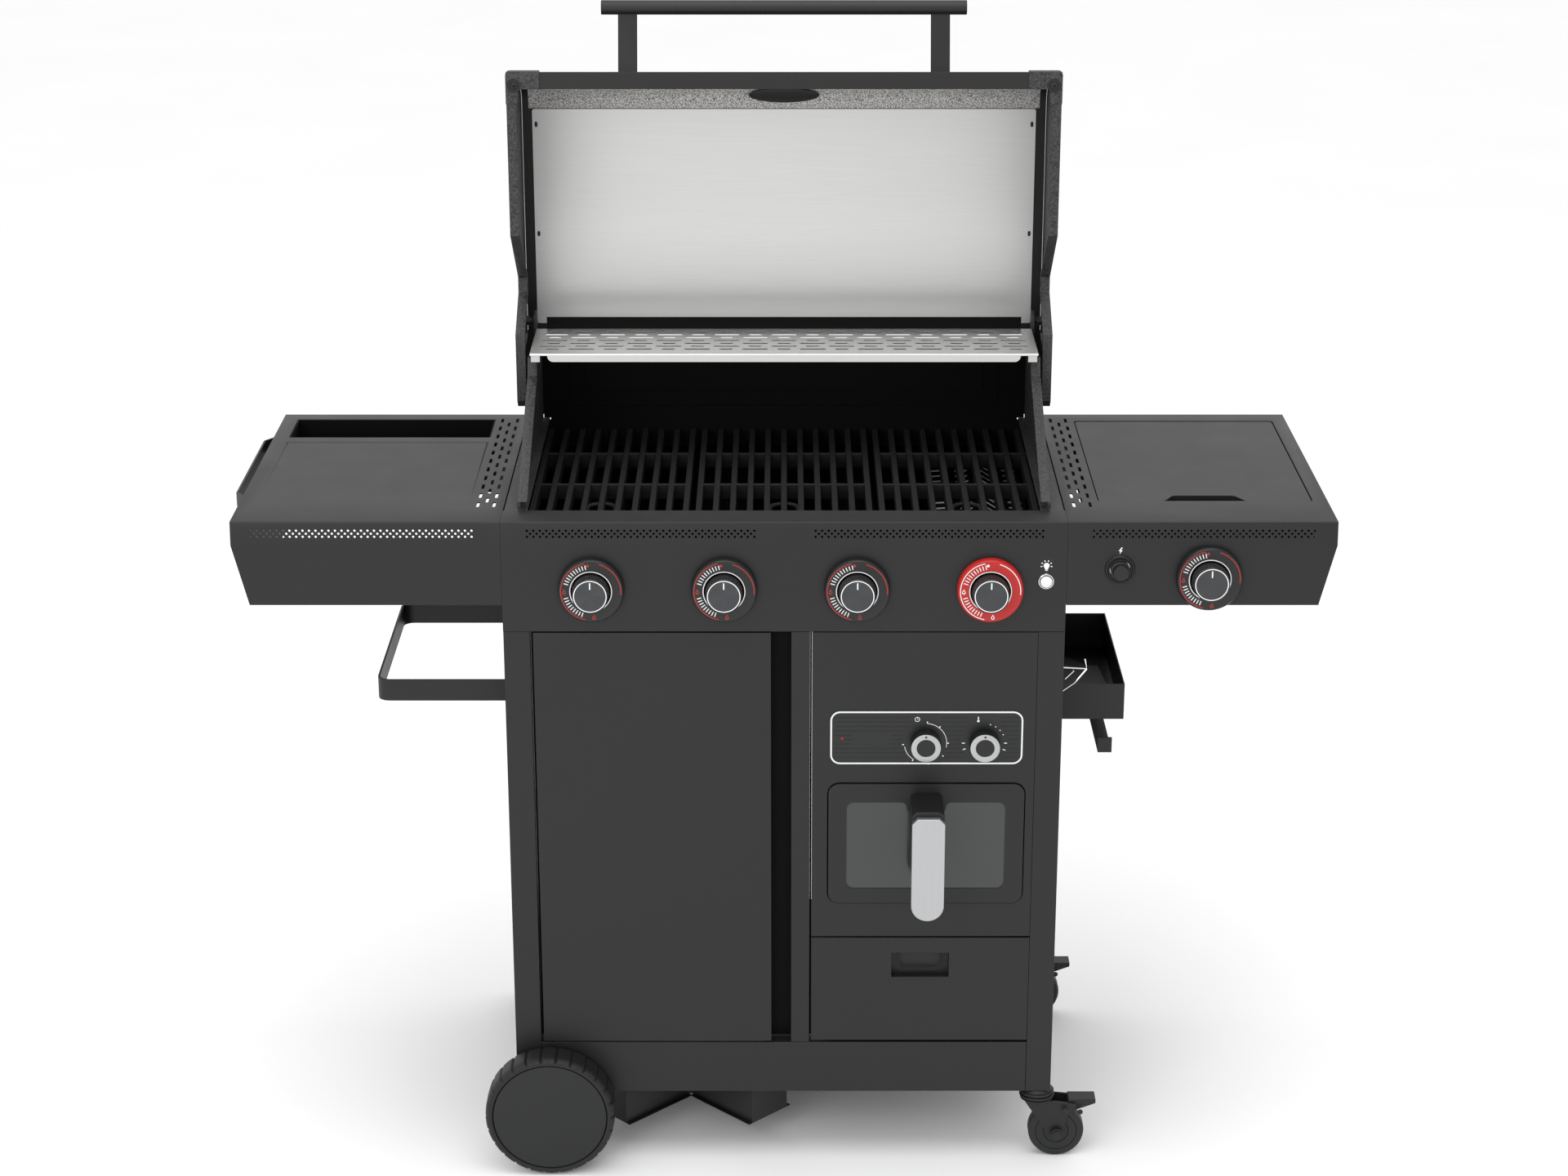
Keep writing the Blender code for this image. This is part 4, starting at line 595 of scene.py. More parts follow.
class Section:
    """A bent path, read by the distance along it."""

    def __init__(self, points):
        self.points = points
        runs = [b - a for a, b in zip(points, points[1:])]
        self.stations = [0.0]
        for run in runs:
            self.stations.append(self.stations[-1] + run.length)
        normals = [Vector((run.y, -run.x)).normalized() for run in runs]
        self.normals = [normals[0]]
        self.normals += [(a + b).normalized() for a, b in zip(normals, normals[1:])]
        self.normals.append(normals[-1])

    @property
    def length(self):
        return self.stations[-1]

    def at(self, along, depth):
        """The point at a distance along the path, and at a depth to its right."""
        along = min(max(along, 0.0), self.length)
        i = max(k for k, s in enumerate(self.stations[:-1]) if s <= along + 1e-9)
        t = (along - self.stations[i]) / (self.stations[i + 1] - self.stations[i])
        normal = self.normals[i].lerp(self.normals[i + 1], t)
        return self.points[i].lerp(self.points[i + 1], t) + normal * depth

    def find(self, axis, value, beyond=0.0):
        """How far along the path it first reaches a value on one of its two axes."""
        for i, (a, b) in enumerate(zip(self.points, self.points[1:])):
            span = b[axis] - a[axis]
            if abs(span) < 1e-7:
                continue
            t = (value - a[axis]) / span
            along = self.stations[i] + t * (self.stations[i + 1] - self.stations[i])
            if -1e-6 <= t <= 1 + 1e-6 and along >= beyond - 1e-6:
                return along
        raise ValueError(f"the path doesn't reach {value} on axis {axis}")


def perforation(left, right, middle, sizes):
    """Three staggered rows of round holes between two places across the sheet."""
    pitch = sizes.hole_pitch
    count = int((right - left) / pitch)
    loops = []
    for row in (-1, 0, 1):
        shift = 0 if row else pitch / 2
        for i in range(count + (row != 0)):
            centre = (left + shift + i * pitch, middle + row * HOLE_ROWS)
            loops.append(circle(centre, sizes.hole_width / 2, 10))
    return loops


# ---- Shared shapes ----


def slot_columns(side, section, beyond):
    """The three staggered columns of slots beside the firebox, on one shelf."""
    first, pitch = FRONT + 74.4 * MM, 38.15 * MM
    length, width = 20 * MM, 4 * MM
    loops = []
    for column, (x, count) in enumerate(SLOT_COLUMNS):
        for i in range(count):
            y = first + (i + (column == 1) / 2) * pitch
            along = section.find(0, y, beyond)
            loops.append(slot_outline((side * x, along), length, width, upright=True))
    return loops


def screw(radius=4 * MM, rise=1.5 * MM):
    """A pan-head screw standing on local Z = 0, with a dark cross just proud of its head as painted
    shade for its cross recess.
    """
    profile = [(0, 0), (radius, 0), (radius, rise * 0.4), (radius * 0.75, rise * 0.9), (0, rise)]
    bm = turned(profile, 20)
    arm, width = radius * 0.55, radius * 0.12
    for x, y in (((-arm, arm), (-width, width)), ((-width, width), (-arm, arm))):
        # Painted shade: the cross recess is a dark cross standing on the head, not a cut.
        add(bm, block(x, y, (rise * 0.8, rise * 1.02)), shade=1)
    return bm


def flame(height):
    """A small flame, as its outline and a smaller one inside it."""
    right = [(0, -0.5), (0.22, -0.42), (0.32, -0.22), (0.27, 0.02), (0.12, 0.2), (0.06, 0.5)]
    left = [(-0.1, 0.24), (-0.2, 0.12), (-0.3, -0.08), (-0.3, -0.28), (-0.18, -0.44)]
    outer = [(a * height, b * height) for a, b in right + left]
    return [outer, [(a * 0.55, b * 0.55 - 0.05 * height) for a, b in outer]]


def print_on(loops_list, rise=0.12 * MM):
    """Printed shapes, each from its loops, as one thin film that stands on local Z = 0."""
    bm = bmesh.new()
    for loops in loops_list:
        add(bm, cut_sheet(loops, (), lambda u, v, depth: (u, v, rise - depth), rise))
    return bm


class Maker:
    """What every operator here shares: it makes its pieces, and stops the script if it can't."""

    bl_options = {"REGISTER", "UNDO"}

    def execute(self, context):
        self.make(context.scene.grill_sizes)
        return {"FINISHED"}


# ---- Cabinet ----


class GRILL_OT_cabinet(Maker, Operator):
    """Legs, floor, panels, door and post: folded steel in satin black powder coat"""

    bl_idname = "grill.cabinet"
    bl_label = "Cabinet"

    def make(self, sizes):
        for node in (
            "leg_front_left", "leg_front_right", "leg_rear_left", "leg_rear_right", "base_shelf",
            "side_panel_left", "side_panel_right", "centre_post",
        ):
            softened(node, "coat", 0.7 * MM)
        softened("cabinet_door", "coat", 1.0 * MM)
        softened("tank_cradle", "coat", 0.6 * MM)
        self.cradle_lips()
        self.leg_screws()
        self.seams()

    def seams(self):
        """Painted shade: matt black strips behind the narrow gaps of the front, and a black sheet in
        the channel behind the hand gap, stand for the shade that falls in them."""
        leg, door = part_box("leg_front_right"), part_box("cabinet_door")
        post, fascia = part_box("centre_post"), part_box("fryer_fascia")
        back = door[1].y + 2.6 * MM
        y = (back, back + SHEET)
        z = (post[0].z + 3 * MM, post[1].z - 4 * MM)
        clear = 0.3 * MM
        bm = block((-leg[0].x + clear, door[0].x + clear), y, z)
        add(bm, block((post[1].x + clear, fascia[0].x - clear), y, z))
        # Painted shade: these black strips make the front's gaps read dark, and the sheet below does
        # the same in the hand gap's channel.
        piece("front_seams", bm, ["coat_dark_and_painted_shade"], "frame")
        post_left = post[1].x - 24.4 * MM  # of the post's face, which its channel reaches past
        gap_shade_sheet = block((door[1].x + clear, post_left - clear), (back, back + 0.5 * MM), z)
        piece("hand_gap_lining", gap_shade_sheet, ["coat_dark_and_painted_shade"], "frame")

    def cradle_lips(self):
        """Rolled lips along the lower edges of the two crossed channels."""
        low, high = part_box("tank_cradle")
        middle = (low + high) / 2
        start, end = 39 * MM, (high.x - low.x) / 2 * math.sqrt(2) - 33.5 * MM
        inner, outer, thick = 33.0 * MM, 40.0 * MM, 1.4 * MM
        bm = bmesh.new()
        for quarter in range(4):
            turn = Matrix.Rotation(math.radians(45 + 90 * quarter), 4, "Z")
            at = Matrix.Translation((middle.x, middle.y, low.z)) @ turn
            for edge in (-1, 1):
                y = sorted((edge * inner, edge * outer))
                add(bm, block((start, end), y, (0, thick)), at)
        piece("cradle_lips", bm, ["coat"], "frame", bevel=0.4 * MM)

    def leg_screws(self):
        """Cross-head screws down the cabinet's sides."""
        from_end, from_edge = 30 * MM, 12 * MM
        for side, name in ((-1, "left"), (1, "right")):
            bm = bmesh.new()
            low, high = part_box(f"side_panel_{name}")
            x = high.x if side > 0 else low.x
            for z in (low.z + from_end, (low.z + high.z) / 2, high.z - from_end):
                for y in (low.y + from_edge, high.y - from_edge):
                    turn = Matrix.Rotation(math.radians(90 * side), 4, "Y")
                    add(bm, screw(3.5 * MM), Matrix.Translation((x, y, z)) @ turn)
            piece(f"side_screws_{name}", bm, ["coat", "coat_dark_and_painted_shade"], "frame")


# ---- Control panel ----


class GRILL_OT_control_panel(Maker, Operator):
    """Control panel: one folded sheet with two strips of round holes, and its printed icon"""

    bl_idname = "grill.control_panel"
    bl_label = "Control panel"

    def make(self, sizes):
        fold = TOP - STRIP
        section = Section(bent_path([
            (FRONT + 45 * MM, PANEL_LOW), (FRONT, PANEL_LOW), (FRONT, fold),
            (FRONT + STRIP_SLOPE, TOP), (FRONT + 50 * MM, TOP),
        ], BEND))
        front = section.find(1, PANEL_LOW + 10 * MM)
        loops = [[(BODY, 0), (BODY, section.length), (-BODY, section.length), (-BODY, 0)]]
        middle = section.find(1, fold + STRIP / 2, front)
        for left, right in PANEL_HOLES:
            loops += perforation(left, right, middle, sizes)
        for number in range(1, 5):
            low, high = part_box(f"burner_knob_{number}")
            centre = (low + high) / 2
            loops.append(circle((centre.x, section.find(1, centre.z, front)), 6 * MM))
        low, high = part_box("light_button")
        lamp = (low + high) / 2
        loops.append(circle((lamp.x, section.find(1, lamp.z, front)), 7.2 * MM, 20))

        def place(across, along, depth):
            point = section.at(along, depth)
            return across, point.x, point.y

        bm = cut_sheet(loops, section.stations[1:-1], place, SHEET)
        piece(
            "control_panel_sheet", bm, ["coat"], "frame", stands_for=["control_panel"],
        )
        self.bulb_icon(lamp)

    def bulb_icon(self, lamp):
        """A lit bulb, printed in white above the light's button."""
        rays = []
        for turn in range(-10, 191, 40):
            rays.append([sector(5.4 * MM, 7.6 * MM, turn - 5, turn + 5, 2)])
        bulb = arc((0, 0), 3.8 * MM, -50, 230, 12) + [(-1.7 * MM, -5.4 * MM), (1.7 * MM, -5.4 * MM)]
        half, low, high = 1.6 * MM, -6.9 * MM, -6.0 * MM
        base = [[(-half, low), (half, low), (half, high), (-half, high)]]
        bm = print_on([[bulb], base] + rays)
        piece("bulb_icon", bm, ["ink"], "frame", facing(lamp.x, lamp.z + 21 * MM))


class GRILL_OT_knobs(Maker, Operator):
    """Burner knobs and bezels: ribbed black knobs with spun faces, on rings with printed scales"""

    bl_idname = "grill.knobs"
    bl_label = "Knobs and bezels"

    def make(self, sizes):
        for knob, bezel in [(f"burner_knob_{n}", f"knob_bezel_{n}") for n in range(1, 5)] + [
            ("side_burner_knob", "side_burner_bezel")
        ]:
            low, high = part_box(knob)
            at = facing((low.x + high.x) / 2, (low.z + high.z) / 2)
            self.bezel(bezel, at, sizes)
            self.knob(knob, at)

    def knob(self, name, at):
        """A ribbed skirt round a spun face with a white edge, and a white line that points up."""
        outer, height = 24 * MM, 32 * MM
        profile = [
            (0, -20 * MM), (4.5 * MM, -20 * MM), (4.5 * MM, 3.5 * MM), (outer - 0.6 * MM, 3.5 * MM),
            (outer, 4.5 * MM), (outer, 9 * MM), (outer - 0.3 * MM, 10 * MM),
            (outer - 0.3 * MM, 26 * MM), (outer - 0.5 * MM, 27.5 * MM), (outer - 0.9 * MM, 30.8 * MM),
            (outer - 2 * MM, height), (21.4 * MM, height), (20.2 * MM, height), (20 * MM, 31.6 * MM),
            (2 * MM, 31.5 * MM), (0, 31.5 * MM),
        ]
        shades = [0] * 11 + [1, 0, 2, 2]
        ribbed, ribs, rib_depth = (7, 8), 60, 0.9 * MM

        def pull(point, step):
            return rib_depth if point in ribbed and step % 2 else 0.0

        bm = turned(profile, 2 * ribs, shades, pull)
        pointer = block((-0.8 * MM, 0.8 * MM), (9.5 * MM, 18.2 * MM), (31.4 * MM, 31.8 * MM))
        add(bm, pointer, shade=1)
        piece(
            f"{name}_detailed", bm, ["plastic", "ink", "spun"], name, at, stands_for=[name],
        )

    def bezel(self, name, at, sizes):
        """A flanged ring with a white inner edge. The fourth is red, with all its print white."""
        red = name == "knob_bezel_4"
        height = 13 * MM
        profile = [
            (6.3 * MM, 0.3 * MM), (40.5 * MM, 0.3 * MM), (42.5 * MM, 2 * MM), (42.5 * MM, 8.5 * MM),
            (42.2 * MM, 10.5 * MM), (40.8 * MM, 12.6 * MM), (39.4 * MM, height),
            (28.3 * MM, height), (27.4 * MM, 13.2 * MM), (26.2 * MM, 13.2 * MM),
            (25.5 * MM, 12.4 * MM), (25.5 * MM, 2.5 * MM), (6.3 * MM, 2.5 * MM), (6.3 * MM, 0.3 * MM),
        ]
        shades = [0] * 8 + [1] + [2] * 4
        bm = turned(profile, 96, shades)
        colour = "bezel_red" if red else "bezel"
        piece(
            f"{name}_detailed", bm, [colour, "ink", "bezel"], "frame", at, stands_for=[name],
        )
        scale = self.ticks(sizes)
        inner, outer = 38.0 * MM, 39.1 * MM
        arcs = [[sector(inner, outer, 73, -6, 30)], [sector(inner, outer, 101, 259, 50)]]
        dot = [circle((39 * math.cos(math.radians(94)) * MM - 1 * MM, 35 * MM), 1.9 * MM)]
        signs = []
        for turn, loops in ((180, flame(7.5 * MM)), (276, flame(7.5 * MM))):
            a = math.radians(turn)
            shift = (34.2 * MM * math.cos(a), 34.6 * MM * math.sin(a))
            signs.append([[(x + shift[0], y + shift[1]) for x, y in loop] for loop in loops])
        raised = at @ Matrix.Translation((0, 0, height))
        if red:
            piece(f"{name}_scale", print_on(scale + arcs + [dot] + signs), ["ink"], "frame", raised)
        else:
            piece(f"{name}_scale", print_on(scale), ["ink"], "frame", raised)
            piece(f"{name}_arcs", print_on(arcs + [dot] + signs), ["ink_red"], "frame", raised)

    def ticks(self, sizes):
        """Radial ticks from just left of the top, round the left side, to the lower left."""
        off, low = 101, 250  # degrees, from the right
        flame_start, flame_end = 168, 192
        marks = []
        for i in range(sizes.tick_count):
            turn = off + i * (low - off) / (sizes.tick_count - 1)
            if flame_start < turn < flame_end:
                continue
            a = math.radians(turn)
            out = Vector((math.cos(a), math.sin(a)))
            across = Vector((-out.y, out.x)) * 0.62 * MM
            ends = (out * 30.2 * MM, out * 36.2 * MM)
            marks.append([[
                tuple(ends[0] - across), tuple(ends[1] - across), tuple(ends[1] + across),
                tuple(ends[0] + across),
            ]])
        return marks


class GRILL_OT_buttons(Maker, Operator):
    """Light button in a chrome rim, and the black igniter in its collar with a printed spark"""

    bl_idname = "grill.buttons"
    bl_label = "Buttons"

    def make(self, sizes):
        low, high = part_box("light_button")
        lamp = facing((low.x + high.x) / 2, (low.z + high.z) / 2)
        rim = [
            (8.2 * MM, 0.1 * MM), (10.4 * MM, 0.1 * MM), (10.6 * MM, 1.2 * MM),
            (9.9 * MM, 2.4 * MM), (8.9 * MM, 2.8 * MM), (8.2 * MM, 2.2 * MM), (8.2 * MM, 0.1 * MM),
        ]
        piece("light_rim", turned(rim, 40), ["chrome"], "frame", lamp)
        flange = 3.7 * MM  # high enough to stay off the panel when pressed
        cap = [
            (0, -6 * MM), (6.2 * MM, -6 * MM), (6.2 * MM, flange), (7.7 * MM, flange),
            (7.7 * MM, 4.0 * MM), (7.3 * MM, 4.5 * MM), (5.5 * MM, 5.4 * MM), (2.5 * MM, 5.9 * MM),
            (0, 6 * MM),
        ]
        piece(
            "light_button_detailed", turned(cap, 40), ["lamp"], "light_button", lamp,
            stands_for=["light_button"],
        )
        self.igniter()

    def igniter(self):
        """A round push button in a notched collar, under its printed spark."""
        low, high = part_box("igniter_button")
        place = facing((low.x + high.x) / 2, (low.z + high.z) / 2)
        collar = [
            (13.6 * MM, 0.1 * MM), (19.4 * MM, 0.1 * MM), (19.6 * MM, 1.0 * MM),
            (18.2 * MM, 3.4 * MM), (16.8 * MM, 3.6 * MM), (15.6 * MM, 2.6 * MM),
            (14.6 * MM, 2.6 * MM), (14.4 * MM, 5.4 * MM), (13.6 * MM, 5.8 * MM), (13.6 * MM, 0.1 * MM),
        ]

        def pull(point, step):
            return 0.7 * MM if point == 7 and step % 3 == 0 else 0.0

        piece("igniter_collar", turned(collar, 72, None, pull), ["plastic"], "frame", place)
        cap = [
            (0, -6 * MM), (8.8 * MM, -6 * MM), (8.8 * MM, 0.5 * MM), (12.6 * MM, 1 * MM),
            (12.6 * MM, 7.5 * MM), (10.6 * MM, 8.4 * MM), (10.2 * MM, 16.8 * MM),
            (9.6 * MM, 18 * MM), (0, 18.2 * MM),
        ]
        piece(
            "igniter_button_detailed", turned(cap, 48), ["plastic"], "igniter_button", place,
            stands_for=["igniter_button"],
        )
        bolt = [
            (0.9, 4.6), (-2.6, -0.4), (-0.4, -0.4), (-1.3, -4.6), (2.6, 0.8), (0.3, 0.8), (2.6, 4.6)
        ]
        spark = print_on([[[(a * MM, b * MM) for a, b in bolt]]])
        centre = place.translation
        piece("spark_icon", spark, ["ink"], "frame", facing(centre.x, centre.z + 25 * MM))


# ---- Shelves ----


class GRILL_OT_shelves(Maker, Operator):
    """Side shelves: folded sheets with slots, strips of holes, a pressed groove and a tool rail"""

    bl_idname = "grill.shelves"
    bl_label = "Shelves"

    def make(self, sizes):
        self.shelf(-1, sizes)
        self.shelf(1, sizes)
        self.tool_rail()
        softened("condiment_trough", "coat_dark_and_painted_shade", 0.5 * MM)

    def shelf(self, side, sizes):
        """One shelf, on the left with side -1 and on the right with side 1."""
        node = "left_shelf" if side < 0 else "right_shelf"
        low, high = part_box(node)
        outer = max(abs(low.x), abs(high.x))
        inner = min(abs(low.x), abs(high.x))
        fold = TOP - STRIP
        taper = 20.2 * MM
        section = Section(bent_path([
            (FRONT, low.z), (FRONT, fold), (FRONT + STRIP_SLOPE, TOP), (high.y, TOP),
            (high.y, low.z),
        ], BEND))
        level = section.find(0, FRONT + 20 * MM, section.find(1, TOP - 5 * MM))
        rear_fold = section.find(1, fold, level + 0.1)
        loops = [[
            (side * inner, 0), (side * (outer - taper), 0), (side * outer, section.find(1, fold)),
            (side * outer, rear_fold), (side * (outer - taper), section.length),
            (side * inner, section.length),
        ]]
        middle = section.find(1, fold + STRIP / 2)
        left, right = sorted(side * end for end in SHELF_HOLES)
        loops += perforation(left, right, middle, sizes)
        loops += slot_columns(side, section, level)
        groove = []
        if side < 0:
            loops.append(self.trough_opening(section, level))
            groove = self.groove_line(section, level)
        else:
            loops.append(self.lid_opening(section, level))
            for name, radius in (("side_burner_knob", 6 * MM), ("igniter_button", 13 * MM)):
                a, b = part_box(name)
                centre = (a + b) / 2
                loops.append(circle((centre.x, section.find(1, centre.z)), radius, 24))

        def place(across, along, depth):
            if any(self.on_line((across, along), a, b) for a, b in zip(groove, groove[1:])):
                depth += 1.3 * MM
            point = section.at(along, depth)
            return across, point.x, point.y

        creases = []
        if groove:
            half = 1.7 * MM
            creases = [groove, self.widened(groove, half), self.widened(groove, -half)]
        bm = cut_sheet(loops, section.stations[1:-1], place, SHEET, creases)
        self.end_sheet(bm, side, outer, taper, low, high)
        x = sorted((side * (inner + 0.1 * MM), side * (inner + SHEET)))
        add(bm, block(x, (FRONT + 5 * MM, high.y - SHEET), (low.z, TOP - 3 * MM)))
        piece(f"{node}_sheet", bm, ["coat"], "frame", stands_for=[node])

    def end_sheet(self, bm, side, outer, taper, low, high):
        """The shelf's end, upright beside the strip and tapering in below it."""
        end = Section(bent_path([
            (outer - 0.2 * MM, TOP - 1.2 * MM), (outer - 0.2 * MM, TOP - STRIP),
            (outer - taper - 0.2 * MM, low.z),
        ], BEND))
        fold = end.find(1, TOP - STRIP)
        outline = [
            (FRONT + STRIP_SLOPE + 1 * MM, 0), (high.y - 1 * MM, 0), (high.y - 1 * MM, end.length),
            (FRONT + 0.8 * MM, end.length), (FRONT + 0.8 * MM, fold),
        ]

        def place(across, along, depth):
            point = end.at(along, depth)
            return side * point.x, across, point.y

        add(bm, cut_sheet([outline], end.stations[1:-1], place, SHEET))

    def trough_opening(self, section, level):
        low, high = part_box("condiment_trough")
        y = [section.find(0, value, level) for value in (low.y - 0.5 * MM, high.y + 0.5 * MM)]
        return rounded((low.x - 0.5 * MM, high.x + 0.5 * MM), y, 1.5 * MM, 3)

    def lid_opening(self, section, level):
        low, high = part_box("side_burner_lid")
        gap = 1.5 * MM
        y = [section.find(0, value, level) for value in (low.y - gap, high.y + 2.1 * MM)]
        return rounded((low.x + LID_PIN - gap, high.x - LID_PIN + gap), y, 5 * MM)

    def groove_line(self, section, level):
        left, right = -0.685, -0.4088
        near, far = (section.find(0, FRONT + y, level) for y in (0.089, 0.3505))
        return [(left, near), (left, far), (right, far), (right, near)]

    def widened(self, line, by):
        """The groove's line moved outwards, or inwards, by a width."""
        (a, near), (_, far), (b, _), _ = line
        return [(a - by, near), (a - by, far + by), (b + by, far + by), (b + by, near)]

    def on_line(self, point, a, b):
        run = Vector(b) - Vector(a)
        off = Vector(point) - Vector(a)
        t = off.dot(run) / run.length_squared
        inside = 0.004 < t < 0.996 if abs(run.x) < 1e-6 else 0 <= t <= 1
        return inside and abs(run.cross(off)) / run.length < 0.2 * MM

    def tool_rail(self):
        """A flat bar along the left shelf's end, bent in to it at both of its ends."""
        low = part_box("left_shelf")[0]
        x = low.x
        out = 12.5 * MM
        y = (FRONT + 130 * MM, FRONT + 400 * MM)
        run_in = 18 * MM
        path = Section(bent_path([
            (x + 0.2 * MM, y[1]), (x - out, y[1] - run_in), (x - out, y[0] + run_in),
            (x + 0.2 * MM, y[0]),
        ], 4 * MM))
        z = (TOP - 27 * MM, TOP - 7 * MM)
        outline = [(z[0], 0), (z[1], 0), (z[1], path.length), (z[0], path.length)]

        def place(across, along, depth):
            point = path.at(along, depth)
            return point.x, point.y, across

        bm = cut_sheet([outline], path.stations[1:-1], place, 3 * MM)
        piece("tool_rail", bm, ["plastic"], "frame", bevel=0.6 * MM)


class GRILL_OT_side_burner(Maker, Operator):
    """Side burner: a flush lid with a finger notch, over a pan with a ported burner"""

    bl_idname = "grill.side_burner"
    bl_label = "Side burner"

    def make(self, sizes):
        softened("side_burner", "coat_dark_and_painted_shade", 0.5 * MM)
        low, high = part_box("side_burner_lid")
        x = (low.x + LID_PIN, high.x - LID_PIN)
        y = (low.y, high.y)
        thick, skirt_depth = 1.2 * MM, 7.3 * MM
        under = high.z - thick
        outline = self.lid_outline(x, y, 0.0)
        bm = cut_sheet([outline], (), lambda u, v, depth: (u, v, high.z - depth), thick)
        skirt = [outline, self.lid_outline(x, y, thick)]
        add(bm, cut_sheet(skirt, (), lambda u, v, depth: (u, v, under - depth), skirt_depth))
        pin = Matrix.Translation((low.x, high.y - 4 * MM, high.z - 4 * MM))
        pin = pin @ Matrix.Rotation(math.radians(90), 4, "Y")
        radius, reach = 1.5 * MM, high.x - low.x
        add(bm, turned([(0, 0), (radius, 0), (radius, reach), (0, reach)], 16), pin)
        piece(
            "side_burner_lid_sheet", bm, ["coat"], "side_burner_lid",
            stands_for=["side_burner_lid"], bevel=0.5 * MM,
        )
        self.burner_cap((sum(x) / 2, sum(y) / 2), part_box("side_burner")[0].z)

    def lid_outline(self, x, y, inset):
        """The lid's outline, with round corners and a notch in its front edge."""
        x = (x[0] + inset, x[1] - inset)
        y = (y[0] + inset, y[1] - inset)
        middle = sum(x) / 2
        deep = y[0] + 23 * MM
        wide, narrow = 53 * MM + inset, 40 * MM + inset
        notch = bent_path([
            (middle - wide - 20 * MM, y[0]), (middle - wide, y[0]), (middle - narrow, deep),
            (middle + narrow, deep), (middle + wide, y[0]), (middle + wide + 20 * MM, y[0]),
        ], 7 * MM, 4)
        radius = 5 * MM
        return (
            [tuple(p) for p in notch]
            + arc((x[1] - radius, y[0] + radius), radius, -90, 0)
            + arc((x[1] - radius, y[1] - radius), radius, 0, 90)
            + arc((x[0] + radius, y[1] - radius), radius, 90, 180)
            + arc((x[0] + radius, y[0] + radius), radius, 180, 270)
        )

    def burner_cap(self, centre, floor):
        """A cast cap with gas ports round its rim."""
        profile = [
            (0, 29 * MM), (38 * MM, 29 * MM), (41 * MM, 30 * MM), (41 * MM, 33 * MM),
            (36 * MM, 35.5 * MM), (0, 36 * MM),
        ]

        def pull(point, step):
            return 2 * MM if point in (2, 3) and step % 3 == 0 else 0.0

        at = Matrix.Translation((*centre, floor))
        piece("side_burner_cap", turned(profile, 72, None, pull), ["iron"], "frame", at)


# ---- Air fryer ----


